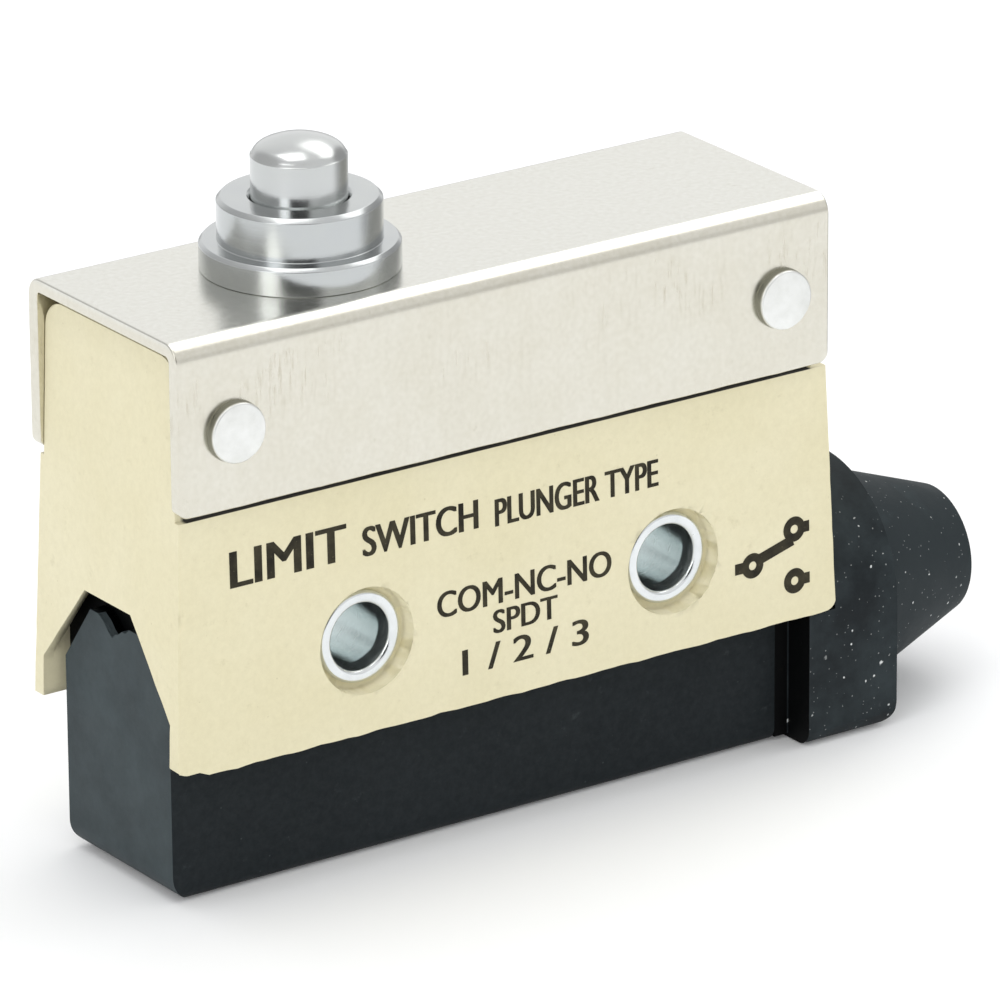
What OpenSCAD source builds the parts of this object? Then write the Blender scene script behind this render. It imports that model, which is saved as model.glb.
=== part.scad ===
// Enclosed limit switch with a plain plunger.
// Millimetres, +Z up. The origin is at the centre of the base. +X runs towards the cable outlet.
// The front, with the open eyelets and the legend, faces -Y.

/* [Mounting] */
// Distance between the two mounting holes
hole_pitch = 25.4; // [24:0.1:27]
// Bore of each mounting eyelet
eyelet_bore_d = 4.3; // [3.6:0.1:4.6]
// Height of the mounting holes above the base
hole_z = 16.6; // [16:0.1:17]

/* [Case] */
// Length of the case at its foot
case_foot_l = 54.7; // [54:0.1:55.5]
// Width of the case at its foot
case_foot_w = 18.0; // [17.6:0.1:18.4]
// Length of the case at the ledge under the cover
case_ledge_l = 53.3; // [52.8:0.1:53.8]
// Width of the case at the ledge under the cover
case_ledge_w = 17.1; // [16.8:0.1:17.4]
// Distance from the middle of the holes to the middle of the case
case_mid_x = -0.75; // [-1:0.05:0]

/* [Metal cover] */
// Length of the cover
cover_l = 53.4; // [53:0.1:54]
// Width of the cover over its flanges
cover_w = 18.3; // [18.1:0.1:18.6]
// Sheet thickness
sheet_t = 1.0; // [0.8:0.1:1.1]
// Outer bend radius
bend_r = 1.4; // [1.2:0.1:2]
// Height of the side flanges
flange_h = 12.3; // [11:0.1:12.3]
// Distance from the middle of the holes to the middle of the cover
cover_mid_x = -1.0; // [-1.2:0.05:-0.8]
// Distance between the two cover rivets
rivet_pitch = 44.85; // [44:0.05:45.5]

/* [Plunger] */
// Distance from the middle of the holes to the plunger axis
plunger_x = -11.8; // [-12:0.1:-11.5]
// Diameter of the plunger
plunger_d = 6.6; // [6.2:0.1:6.6]
// Height of the plunger tip above the base
plunger_top_z = 50.0; // [49.5:0.1:50.5]
// Full travel of the plunger
plunger_travel = 3.5; // [3:0.1:3.5]
// Diameter of the collar flange
collar_flange_d = 13.7; // [13:0.1:14]
// Diameter of the collar barrel
collar_barrel_d = 11.26; // [11:0.01:12]

/* [Cable outlet] */
// Bore for the cable
cable_bore_d = 6.5; // [5.5:0.1:7]
// Radius of the cone at its free end
cone_end_r = 4.7; // [4.5:0.1:5.5]
// Distance from the middle of the holes to the free end of the cone
cone_end_x = 41.9; // [40:0.1:43]

/* [Hidden] */
$fn = 64;
EPS = 0.01;

// Colours
CREAM = "#e4dcc0";
STEEL = "#d6d5cd";
PLATED = "#b9bec4";
ALUMINIUM = "#dcdcda";
BLACK = "#33373a";
RUBBER = "#1f2123";
BRASS = "#c9a24b";
SILVER = "#e6e6ea";
COPPER = "#c98a5a";
BROWN = "#7a4a2a";

// Heights above the base
foot_z = 10.0;
back_foot_z = 10.8;
ledge_z = 28.1;
case_top_z = 39.25;
gasket_t = 0.5;
plate_z = case_top_z + gasket_t;
cover_top_z = plate_z + sheet_t;
cover_foot_z = cover_top_z - flange_h;
rivet_z = 34.05;

// Case
case_left = case_mid_x - case_foot_l / 2;
upper_left = case_mid_x - case_ledge_l / 2;
upper_top_left = -26.97;
upper_right = 24.95;
upper_w = cover_w - 2 * sheet_t - 0.1;
upper_edge_r = 2.0;
foot_corner_r = 0.8;
skirt_left = -27.15;
skirt_right = 25.65;
skirt_w = 15.8;
web_z = 12.0;
slot_top_z = 20.4;
slot_inner_left = -25.5;
notch_top_z = 20.0;
notch_top_w = 5.7;
notch_knee_z = 13.75;

// Contact chamber
chamber_floor_z = 24.0;
chamber_left = -20.1;
chamber_right = 18.3;
chamber_w = 8.4;
lid_room = 0.8;
lid_room_w = 10.0;
fit_gap = 0.05;

// Eyelets
eyelet_tube_r = 2.5;
eyelet_lip_r = 3.25;
eyelet_face_y = 8.08;
eyelet_lip_t = 0.5;
counterbore_r = 3.8;

// Rivets
rivet_shank_r = 1.6;
rivet_head_r = 2.15;
rivet_shift = 0.2;
rivet_head_h = 0.7;

// Collar and plunger
spigot_r = 4.7;
lip_r = 5.0;
collar_flange_h = 2.0;
collar_top_z = 45.8;
plunger_r = plunger_d / 2;
collar_bore_r = plunger_r + 0.06;
shoulder_r = 3.8;
shoulder_room_r = 3.95;
shoulder_top_z = cover_top_z + 0.95;
plunger_foot_z = cover_top_z;
dome_edge_z = plunger_top_z - 1.25;
dome_h = plunger_top_z - dome_edge_z;
dome_r = (plunger_r * plunger_r + dome_h * dome_h) / (2 * dome_h);
shoulder_clearance = 2.15;
lid_seat_z = plunger_foot_z - plunger_travel - shoulder_clearance;
pocket_r = 2.3;
pocket_top_z = 46.5;
seal_z = 43.95;
seal_section_r = 0.5;
seal_mid_r = plunger_r + seal_section_r + 0.03;

// Push pin and springs
pin_r = 1.2;
pin_head_r = 2.15;
pin_head_z = 39.3;
pin_head_h = 0.9;
pin_tip_r = 0.9;
lid_floor_z = 33.3;
spring_seat_z = 34.5;
lid_z = lid_seat_z + fit_gap;
lid_t = 1.2;
spring_gap = 0.05;

// Contact set
strip_t = 0.8;
strip_w = 5.0;
tab_w = 6.4;
tab_l = 7.0;
blade_t = 0.25;
hinge_x = -18.5;
blade_z = 27.1;
blade_right = 13.6;
leaf_z = 27.45;
leaf_right = -4.0;
contact_x = 11.8;
contact_r = 1.6;
moving_contact_r = 1.4;
moving_shank_r = 0.85;
com_x = -19.4;
no_x = -3.4;
nc_x = 16.0;
no_contact_z = chamber_floor_z + strip_t;
no_contact_h = 0.9;
nc_contact_z = 28.1;
nc_contact_h = 0.9;
screw_xs = [-22.0, 0.4, 19.4];
screw_r = 1.5;
screw_head_r = 2.7;
screw_head_h = 1.7;
screw_top_z = 15.2;
washer_w = 5.5;
washer_t = 0.6;

// Terminal cover and boot
tc_left = -27.1;
tc_right = 23.15;
tc_w = 13.0;
tc_wall = 1.2;
tc_floor = 1.5;
tc_rim_z = 11.6;
tongue_top_z = 18.4;
tongue_top_w = 6.4;
tongue_knee_z = 14.0;
boot_left = 24.4;
boot_right = 32.1;
boot_upper_left = 26.66;
boot_r = 8.9;
boot_axis_z = 9.2;
boot_corner_r = 1.8;
cone_axis_z = 8.4;
cone_base_r = 8.2;
sleeve_r = 4.3;
neck_left = 23.2;
neck_w = 12.9;
neck_h = 9.7;
plug_l = 2.4;
plug_channel_w = 7.2;
plug_channel_z = 4.8;

// The model is centred on its overall length.
frame_shift_x = -(case_left + cone_end_x) / 2;

// ---------- helpers ----------

// Children given from the middle of the holes are put in the part's frame.
module in_frame() {
  translate([frame_shift_x, 0, 0]) children();
}

// A box from its X range, its full width in Y and its Z range.
module block(x0, x1, w, z0, z1) {
  translate([x0, -w / 2, z0]) cube([x1 - x0, w, z1 - z0]);
}

// A box with a Y range that is not centred.
module block_y(x0, x1, y0, y1, z0, z1) {
  translate([x0, y0, z0]) cube([x1 - x0, y1 - y0, z1 - z0]);
}

// An outline in X and Z, extruded over the width w in Y.
module side_outline(w) {
  translate([0, w / 2, 0]) rotate([90, 0, 0]) linear_extrude(w) children();
}

// An outline in Y and Z, extruded from x0 to x1.
module end_outline(x0, x1) {
  translate([x0, 0, 0]) rotate([90, 0, 90]) linear_extrude(x1 - x0) children();
}

// A rectangle of width w and height h standing on the X axis, its two upper corners rounded.
module rounded_top(w, h, r) {
  translate([-w / 2, 0]) square([w, h - r]);
  translate([-w / 2 + r, 0]) square([w - 2 * r, h]);
  for (side = [-1, 1]) translate([side * (w / 2 - r), h - r]) circle(r);
}

// The same with its two lower corners rounded.
module rounded_foot(w, h, r) {
  translate([0, h]) mirror([0, 1]) rounded_top(w, h, r);
}

// A hole along Y at (x, z).
module cross_hole(x, z, r, w = 40) {
  translate([x, w / 2, z]) rotate([90, 0, 0]) cylinder(r = r, h = w);
}

// A full-length trapezoid notch outline, its foot open.
module notch_outline() {
  polygon([
    [-skirt_w / 2, foot_z - 1], [skirt_w / 2, foot_z - 1], [skirt_w / 2, notch_knee_z],
    [notch_top_w / 2, notch_top_z], [-notch_top_w / 2, notch_top_z], [-skirt_w / 2, notch_knee_z]
  ]);
}

// One point of a coil spring's skin: a is the angle along the coil, b the angle round the wire.
function coil_point(a, b, z, mid_r, wire_r) =
  let (r = mid_r + wire_r * cos(b)) [r * cos(a), r * sin(a), z + wire_r * sin(b)];

// A round wire coil standing on z = 0, height h over the wire, with flat dead turns at both ends.
module coil_spring(h, mid_r, wire_r, turns) {
  per_turn = 18;
  sides = 8;
  steps = turns * per_turn;
  rise = h - 2 * wire_r;
  dead = 0.5;
  pts = [
    for (i = [0:steps])
      let (t = i / steps, s = min(1, max(0, (t * turns - dead) / (turns - 2 * dead))))
        for (j = [0:sides - 1])
          coil_point(360 * turns * t, 360 * j / sides, wire_r + rise * s, mid_r, wire_r)
  ];
  ring = [for (i = [0:steps - 1]) for (j = [0:sides - 1])
    [i * sides + j, (i + 1) * sides + j, (i + 1) * sides + (j + 1) % sides, i * sides + (j + 1) % sides]];
  start_cap = [[for (j = [0:sides - 1]) j]];
  end_cap = [[for (j = [sides - 1:-1:0]) steps * sides + j]];
  polyhedron(pts, concat(ring, start_cap, end_cap), convexity = 10);
}

// ---------- cover and its fixings ----------

module metal_cover() {
  color(STEEL) in_frame() difference() {
    translate([0, 0, cover_foot_z]) intersection() {
      end_outline(cover_mid_x - cover_l / 2, cover_mid_x + cover_l / 2)
        rounded_top(cover_w, flange_h, bend_r);
      side_outline(cover_w + 2) translate([cover_mid_x, 0]) rounded_foot(cover_l, flange_h + 1, foot_corner_r);
    }
    translate([0, 0, cover_foot_z - 1])
      end_outline(cover_mid_x - cover_l, cover_mid_x + cover_l)
        rounded_top(cover_w - 2 * sheet_t, flange_h - sheet_t + 1, bend_r - sheet_t);
    translate([plunger_x, 0, plate_z - 1]) cylinder(r = spigot_r + fit_gap, h = sheet_t + 2);
    for (x = rivet_xs()) cross_hole(x, rivet_z, rivet_shank_r + fit_gap);
  }
}

function rivet_xs() = [for (side = [-1, 1]) cover_mid_x + rivet_shift + side * rivet_pitch / 2];

// A flat sheet under the cover plate, cut out round the collar's staked lip and the lid.
module cover_gasket() {
  color(RUBBER) in_frame() difference() {
    block(upper_left + 1, upper_right - 1, upper_w - 2 * upper_edge_r, case_top_z, plate_z);
    translate([plunger_x, 0, case_top_z - 1]) cylinder(r = lip_r + fit_gap, h = 3);
  }
}

// One rivet: a shank with a low round-edged head at each end, its axis along Y.
module rivet() {
  edge_r = 0.35;
  rotate([90, 0, 0]) rotate_extrude() {
    translate([0, -cover_w / 2]) square([rivet_shank_r, cover_w]);
    for (side = [0, 1]) mirror([0, side]) translate([0, cover_w / 2]) {
      square([rivet_head_r, rivet_head_h - edge_r]);
      square([rivet_head_r - edge_r, rivet_head_h]);
      translate([rivet_head_r - edge_r, rivet_head_h - edge_r]) circle(edge_r);
    }
  }
}

module cover_rivets() {
  color(ALUMINIUM) in_frame() for (x = rivet_xs()) translate([x, 0, rivet_z]) rivet();
}

// ---------- plunger group ----------

// Turned collar: flange, barrel and a spigot that is staked under the cover plate.
module plunger_bushing() {
  chamfer = 0.3;
  color(PLATED) in_frame() translate([plunger_x, 0, 0]) rotate_extrude() difference() {
    union() {
      polygon([
        [0, case_top_z], [lip_r, case_top_z], [lip_r, plate_z], [spigot_r, plate_z], [spigot_r, cover_top_z],
        [collar_flange_d / 2, cover_top_z], [collar_flange_d / 2, cover_top_z + collar_flange_h - chamfer],
        [collar_flange_d / 2 - chamfer, cover_top_z + collar_flange_h],
        [collar_barrel_d / 2, cover_top_z + collar_flange_h], [collar_barrel_d / 2, collar_top_z - chamfer],
        [collar_barrel_d / 2 - chamfer, collar_top_z], [0, collar_top_z]
      ]);
    }
    translate([-1, 0]) square([1 + collar_bore_r, plunger_top_z]);
    translate([-1, 0]) square([1 + shoulder_room_r, shoulder_top_z + fit_gap]);
    polygon([
      [0, collar_top_z - 0.25], [collar_bore_r, collar_top_z - 0.25], [collar_bore_r + 0.25, collar_top_z],
      [collar_bore_r + 0.25, collar_top_z + 1], [0, collar_top_z + 1]
    ]);
    translate([0, seal_z - seal_section_r - fit_gap])
      square([seal_mid_r + seal_section_r + 0.02, 2 * (seal_section_r + fit_gap)]);
  }
}

module plunger_seal() {
  color(RUBBER) in_frame() translate([plunger_x, 0, seal_z])
    rotate_extrude() translate([seal_mid_r, 0]) circle(seal_section_r);
}

// Domed plunger with a stop shoulder at its foot and a pocket for the over-travel spring.
module plunger() {
  color(PLATED) in_frame() translate([plunger_x, 0, 0]) difference() {
    union() {
      translate([0, 0, plunger_foot_z]) cylinder(r = plunger_r, h = dome_edge_z - plunger_foot_z);
      translate([0, 0, plunger_foot_z]) cylinder(r = shoulder_r, h = shoulder_top_z - plunger_foot_z);
      intersection() {
        translate([0, 0, plunger_top_z - dome_r]) sphere(r = dome_r, $fn = 96);
        translate([0, 0, dome_edge_z - EPS]) cylinder(r = plunger_r, h = dome_h + 1);
      }
    }
    translate([0, 0, plunger_foot_z - 1]) cylinder(r = pocket_r, h = pocket_top_z - plunger_foot_z + 1);
  }
}

// Return spring from the lid's pocket to the plunger's shoulder.
module return_spring() {
  color(SILVER) in_frame() translate([plunger_x, 0, spring_seat_z + spring_gap])
    coil_spring(plunger_foot_z - spring_seat_z - 2 * spring_gap, 2.9, 0.24, 5);
}

// Over-travel spring from the push pin's head to the top of the plunger's pocket.
module overtravel_spring() {
  seat_z = pin_head_z + pin_head_h;
  color(SILVER) in_frame() translate([plunger_x, 0, seat_z + spring_gap])
    coil_spring(pocket_top_z - seat_z - 2 * spring_gap, 1.8, 0.2, 6);
}

module push_pin() {
  shank_foot_z = leaf_z + blade_t + fit_gap + pin_tip_r;
  color(BROWN) in_frame() translate([plunger_x, 0, 0]) {
    translate([0, 0, pin_head_z]) cylinder(r = pin_head_r, h = pin_head_h);
    translate([0, 0, shank_foot_z]) cylinder(r = pin_tip_r, h = pin_head_z - shank_foot_z);
    translate([0, 0, shank_foot_z + 1]) cylinder(r = pin_r, h = pin_head_z - shank_foot_z - 1);
    translate([0, 0, shank_foot_z]) sphere(r = pin_tip_r);
  }
}

// Lid of the contact chamber, with a boss that guides the pin and seats the return spring.
module inner_lid() {
  color(BROWN) in_frame() difference() {
    union() {
      block(chamber_left - lid_room + fit_gap, chamber_right + lid_room - fit_gap,
        lid_room_w - 2 * fit_gap, lid_z, lid_z + lid_t);
      translate([plunger_x, 0, lid_floor_z]) cylinder(r = 4.0, h = lid_z + lid_t - lid_floor_z);
    }
    translate([plunger_x, 0, spring_seat_z]) cylinder(r = 3.3, h = 5);
    translate([plunger_x, 0, lid_floor_z - 1]) cylinder(r = pin_r + 0.06, h = 5);
  }
}

// ---------- case ----------

module case_outside() {
  half_foot = case_foot_l / 2;
  half_ledge = case_ledge_l / 2;
  intersection() {
    side_outline(30) translate([case_mid_x, 0]) {
      r = foot_corner_r;
      difference() {
        polygon([[-half_foot, foot_z], [half_foot, foot_z], [half_ledge, ledge_z], [-half_ledge, ledge_z]]);
        for (side = [-1, 1]) translate([side * (half_foot - r), foot_z + r]) difference() {
          translate([side > 0 ? 0 : -2 * r, -2 * r]) square(2 * r);
          circle(r);
        }
      }
    }
    end_outline(-40, 40) polygon([
      [-case_foot_w / 2, foot_z], [case_foot_w / 2, foot_z],
      [case_ledge_w / 2, ledge_z], [-case_ledge_w / 2, ledge_z]
    ]);
    // The wall away from the print stops a little higher.
    end_outline(-40, 40)
      polygon([[-20, foot_z], [0, foot_z], [0, back_foot_z], [20, back_foot_z], [20, 40], [-20, 40]]);
  }
  intersection() {
    translate([0, 0, ledge_z - EPS]) end_outline(upper_left, upper_right)
      rounded_top(upper_w, case_top_z - ledge_z + EPS, upper_edge_r);
    // The left end keeps the draft of the lower body.
    side_outline(30) polygon([
      [upper_left, ledge_z - 1], [upper_left, ledge_z], [upper_top_left, case_top_z],
      [upper_top_left, case_top_z + 1], [upper_right + 1, case_top_z + 1], [upper_right + 1, ledge_z - 1]
    ]);
  }
}

// Everything that is cut out of the case from below.
module case_underside() {
  block(skirt_left, skirt_right, skirt_w, foot_z - 1, web_z);
  block(skirt_left, slot_inner_left, skirt_w, foot_z - 1, slot_top_z);
  block(neck_left, skirt_right, 2 * sleeve_r + 0.6, foot_z - 1, cone_axis_z + sleeve_r + 0.4);
  end_outline(-40, skirt_left + 1) notch_outline();
  end_outline(skirt_right - 1, 40) notch_outline();
  for (x = screw_xs) translate([x, 0, web_z - 1]) cylinder(r = screw_r + fit_gap, h = screw_top_z - web_z + 1.3);
  for (x = [com_x, no_x, nc_x])
    block(x - fit_gap, x + strip_t + fit_gap, strip_w + 2 * fit_gap, web_z - 1, chamber_floor_z + 1);
}

module case() {
  color(CREAM) in_frame() difference() {
    case_outside();
    case_underside();
    block(chamber_left, chamber_right, chamber_w, chamber_floor_z, lid_seat_z + 1);
    block(chamber_left - lid_room, chamber_right + lid_room, lid_room_w, lid_seat_z, case_top_z + 1);
    for (x = rivet_xs()) cross_hole(x, rivet_z, rivet_shank_r + fit_gap);
    for (x = [-hole_pitch / 2, hole_pitch / 2]) {
      cross_hole(x, hole_z, eyelet_tube_r + 0.02);
      for (side = [-1, 1]) translate([x, side * (eyelet_face_y - eyelet_lip_t), hole_z])
        rotate([-90 * side, 0, 0]) cylinder(r = counterbore_r, h = 5);
    }
  }
}

// A tube through the case with a flared lip at each end and a chamfered mouth.
module eyelet() {
  bore_r = eyelet_bore_d / 2;
  mouth = 0.35;
  rotate([90, 0, 0]) difference() {
    union() {
      cylinder(r = eyelet_tube_r, h = 2 * eyelet_face_y, center = true);
      for (side = [-1, 1]) translate([0, 0, side * (eyelet_face_y - eyelet_lip_t / 2)])
        cylinder(r = eyelet_lip_r, h = eyelet_lip_t, center = true);
    }
    cylinder(r = bore_r, h = 30, center = true);
    for (side = [0, 1]) mirror([0, 0, side]) translate([0, 0, eyelet_face_y - mouth])
      cylinder(r1 = bore_r, r2 = bore_r + 2 * mouth, h = 2 * mouth);
  }
}

module mounting_eyelet_left() {
  color(ALUMINIUM) in_frame() translate([-hole_pitch / 2, 0, hole_z]) eyelet();
}

module mounting_eyelet_right() {
  color(ALUMINIUM) in_frame() translate([hole_pitch / 2, 0, hole_z]) eyelet();
}

// ---------- terminal cover and cable boot ----------

// Open-topped cap with a tongue on its closed end, and ribs that grip the case's skirt.
module terminal_cover() {
  end_r = 2.0;
  side_r = 1.0;
  color(BLACK) in_frame() {
    difference() {
      intersection() {
        union() {
          block(tc_left, tc_right, tc_w, 0, tc_rim_z);
          end_outline(tc_left, tc_left + tc_wall) polygon([
            [-tc_w / 2, 0], [tc_w / 2, 0], [tc_w / 2, tongue_knee_z], [tongue_top_w / 2, tongue_top_z],
            [-tongue_top_w / 2, tongue_top_z], [-tc_w / 2, tongue_knee_z]
          ]);
        }
        end_outline(-40, 40) rounded_foot(tc_w, 30, side_r);
        side_outline(30) translate([tc_left + 40, 0]) rounded_foot(80, 30, end_r);
      }
      block(tc_left + tc_wall, tc_right + 1, tc_w - 2 * tc_wall, tc_floor, tc_rim_z + 1);
    }
    for (x = [-16, 8]) for (side = [0, 1]) mirror([0, side, 0])
      block_y(x, x + 4, tc_w / 2 - EPS, skirt_w / 2 - fit_gap, tc_rim_z - 1.2, tc_rim_z - 0.2);
  }
}

// Rubber sheet in the slot between the terminal cover's closed end and the case.
module terminal_seal() {
  color(RUBBER) in_frame() block(
    tc_left + tc_wall + fit_gap, slot_inner_left - fit_gap, skirt_w - 2 * fit_gap,
    web_z + fit_gap, slot_top_z - fit_gap
  );
}

// Rubber block under and beside the case, a neck into the terminal cover and a tapering cable outlet.
module cable_boot() {
  color(RUBBER) in_frame() difference() {
    union() {
      difference() {
        intersection() {
          end_outline(boot_left, boot_right) {
            translate([0, boot_axis_z]) circle(boot_r, $fn = 96);
            rounded_foot(2 * boot_r, boot_axis_z, 1.2);
          }
          side_outline(40) translate([boot_right - 40, 0]) rounded_foot(80, 40, boot_corner_r);
        }
        block(boot_left - 1, boot_upper_left, 40, foot_z - 0.05, 40);
      }
      block(neck_left, boot_left + 1, neck_w, 0.3, neck_h);
      block(neck_left - plug_l, neck_left + 1, tc_w - 2 * tc_wall - 0.1, tc_floor + fit_gap, neck_h);
      translate([neck_left, 0, cone_axis_z]) rotate([0, 90, 0]) cylinder(r = sleeve_r, h = boot_right - neck_left);
      translate([boot_right, 0, cone_axis_z]) rotate([0, 90, 0])
        cylinder(r1 = cone_base_r, r2 = cone_end_r, h = cone_end_x - boot_right);
    }
    translate([neck_left - 1, 0, cone_axis_z]) rotate([0, 90, 0]) cylinder(d = cable_bore_d, h = 60);
    block(neck_left - plug_l - 1, neck_left, plug_channel_w, plug_channel_z, neck_h + 1);
  }
}

// ---------- contact set ----------

// The screw tab of a terminal: it lies under the case's web, with a hole for its screw.
module screw_tab(x0, x1, screw_x) {
  difference() {
    block(x0, x1, tab_w, web_z - strip_t, web_z);
    translate([screw_x, 0, web_z - 2]) cylinder(r = screw_r + 0.1, h = 4);
  }
}

// The common terminal's upper end is the post that the blade and leaf pivot on.
module com_terminal() {
  color(BRASS) in_frame() {
    block(com_x, com_x + strip_t, strip_w, web_z - strip_t, leaf_z + 1.2);
    screw_tab(com_x + strip_t - tab_l + 0.6, com_x + strip_t, screw_xs[0]);
  }
}

module no_terminal() {
  color(BRASS) in_frame() {
    block(no_x, no_x + strip_t, strip_w, web_z - strip_t, chamber_floor_z + strip_t);
    block(no_x, blade_right, strip_w, chamber_floor_z, chamber_floor_z + strip_t);
    screw_tab(no_x, no_x + tab_l, screw_xs[1]);
  }
}

module nc_terminal() {
  arm_z = nc_contact_z + nc_contact_h;
  color(BRASS) in_frame() {
    block(nc_x, nc_x + strip_t, strip_w, web_z - strip_t, arm_z + strip_t);
    block(contact_x - contact_r, nc_x + strip_t, strip_w, arm_z, arm_z + strip_t);
    screw_tab(nc_x, nc_x + tab_l - 0.8, screw_xs[2]);
  }
}

module nc_contact() {
  color(SILVER) in_frame() translate([contact_x, 0, nc_contact_z]) cylinder(r = contact_r, h = nc_contact_h);
}

module no_contact() {
  color(SILVER) in_frame() translate([contact_x, 0, no_contact_z]) cylinder(r = contact_r, h = no_contact_h);
}

// A double-headed contact riveted through the blade.
module moving_contact() {
  head_below = 0.65;
  head_above = 0.7;
  color(SILVER) in_frame() translate([contact_x, 0, 0]) {
    translate([0, 0, blade_z - head_below]) cylinder(r = moving_contact_r, h = head_below);
    translate([0, 0, blade_z - EPS]) cylinder(r = moving_shank_r, h = blade_t + 2 * EPS);
    translate([0, 0, blade_z + blade_t]) cylinder(r = moving_contact_r, h = head_above);
  }
}

// The contact blade is a frame round the leaf's window.
module moving_blade() {
  color(COPPER) in_frame() difference() {
    block(hinge_x, blade_right, strip_w, blade_z, blade_z + blade_t);
    block(hinge_x + 0.6, -3.0, 3.2, blade_z - 1, blade_z + 1);
    translate([contact_x, 0, blade_z - 1]) cylinder(r = moving_shank_r, h = 3);
  }
}

// The leaf that the push pin presses down through the blade's window.
module tension_leaf() {
  color(COPPER) in_frame() block(hinge_x, leaf_right, 2.4, leaf_z, leaf_z + blade_t);
}

// ---------- terminal fixings ----------

// A slotted pan-head screw standing on its head.
module terminal_screw() {
  head_z = web_z - strip_t - washer_t - screw_head_h;
  difference() {
    union() {
      translate([0, 0, head_z]) cylinder(r = screw_head_r, h = screw_head_h);
      translate([0, 0, head_z]) cylinder(r = screw_r, h = screw_top_z - head_z);
    }
    block(-4, 4, 0.8, head_z - 1, head_z + 0.8);
  }
}

module terminal_screws() {
  color(PLATED) in_frame() for (x = screw_xs) translate([x, 0, 0]) terminal_screw();
}

module clamp_washers() {
  color(BRASS) in_frame() for (x = screw_xs) difference() {
    block(x - washer_w / 2, x + washer_w / 2, washer_w, web_z - strip_t - washer_t, web_z - strip_t);
    translate([x, 0, 0]) cylinder(r = screw_r + 0.1, h = 30);
  }
}

// ---------- output ----------

metal_cover();
cover_gasket();
plunger_bushing();
plunger_seal();
plunger();
return_spring();
overtravel_spring();
push_pin();
inner_lid();
cover_rivets();
case();
mounting_eyelet_left();
mounting_eyelet_right();
terminal_cover();
terminal_seal();
cable_boot();
com_terminal();
nc_terminal();
no_terminal();
nc_contact();
no_contact();
moving_contact();
moving_blade();
tension_leaf();
terminal_screws();
clamp_washers();
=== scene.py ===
"""Visual model of an enclosed limit switch with a plain plunger.

The classes give their sizes in millimetres: X from the middle of the two mounting holes, Y from
the case's middle plane and Z from the base. place() turns such points into the part's frame, in
metres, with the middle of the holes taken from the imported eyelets.
"""

import logging
import math
from collections.abc import Callable, Sequence
from dataclasses import dataclass
from enum import Enum
from functools import partial

import bmesh
import bpy
import numpy as np
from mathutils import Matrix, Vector


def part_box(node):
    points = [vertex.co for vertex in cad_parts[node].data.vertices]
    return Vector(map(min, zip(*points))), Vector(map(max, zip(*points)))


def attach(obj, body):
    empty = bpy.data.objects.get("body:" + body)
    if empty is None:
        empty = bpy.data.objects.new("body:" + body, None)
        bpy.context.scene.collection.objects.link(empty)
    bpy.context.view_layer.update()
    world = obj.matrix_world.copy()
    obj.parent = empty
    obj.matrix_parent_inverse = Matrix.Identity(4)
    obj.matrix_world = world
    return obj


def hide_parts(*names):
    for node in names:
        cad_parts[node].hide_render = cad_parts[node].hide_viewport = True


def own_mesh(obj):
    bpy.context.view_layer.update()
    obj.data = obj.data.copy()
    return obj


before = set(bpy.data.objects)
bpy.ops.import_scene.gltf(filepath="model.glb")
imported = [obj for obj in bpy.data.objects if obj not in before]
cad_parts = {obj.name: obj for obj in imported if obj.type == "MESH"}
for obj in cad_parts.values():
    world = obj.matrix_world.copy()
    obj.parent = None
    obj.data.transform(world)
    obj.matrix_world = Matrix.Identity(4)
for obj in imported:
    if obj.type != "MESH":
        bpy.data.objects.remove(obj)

MM = 0.001
LOG = logging.getLogger("limit_switch")

POLE_MERGE = 2e-7  # metres; doubles at poles and seams of a new surface
CAD_MERGE = 2e-6  # metres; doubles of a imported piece's loose triangles
FLAT_DEG = 0.6  # packed triangles that turn by less than this are one flat face
CUT_MERGE = 1e-7  # metres; points this near to a cutting plane are on it

Corner = tuple[float, float, float]
Stop = tuple[float, float]
Colour = tuple[float, float, float]


class Body(Enum):
    """The bodies that new pieces ride on."""

    HOUSING = "housing"
    PLUNGER = "plunger_group"


class Axis(Enum):
    """Directions that a turned piece may lie along."""

    X = 0
    Y = 1
    Z = 2


# ---------------------------------------------------------------- geometry


def box_mm(node: str) -> np.ndarray:
    """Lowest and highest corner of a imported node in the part's frame: 2x3, in millimetres."""
    low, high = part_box(node)
    return np.array([low, high]) / MM


def hole_middle_x() -> float:
    """X of the middle between the two mounting holes in the part's frame, in millimetres."""
    boxes = box_mm("mounting_eyelet_left"), box_mm("mounting_eyelet_right")
    return float(np.mean([b[:, 0] for b in boxes]))


DATUM_X = hole_middle_x()


def place(points: np.ndarray) -> np.ndarray:
    """Points in millimetres from the middle of the holes, as metres in the part's frame."""
    return (np.asarray(points, float) + (DATUM_X, 0.0, 0.0)) * MM


def middle(node: str) -> np.ndarray:
    """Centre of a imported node's box, in millimetres from the middle of the holes."""
    return box_mm(node).mean(0) - (DATUM_X, 0.0, 0.0)


def linear(code: str) -> Colour:
    """A #rrggbb colour as linear light: c/12.92 near black, else ((c + 0.055)/1.055)^2.4."""
    c = np.array([int(code[i : i + 2], 16) for i in (1, 3, 5)]) / 255
    return tuple(np.where(c <= 0.04045, c / 12.92, ((c + 0.055) / 1.055) ** 2.4))


def towards(azimuth: float, elevation: float) -> Vector:
    """Unit vector from the part, in degrees from -Y towards +X and up from the floor."""
    a, e = math.radians(azimuth), math.radians(elevation)
    return Vector((math.sin(a) * math.cos(e), -math.cos(a) * math.cos(e), math.sin(e)))


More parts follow.
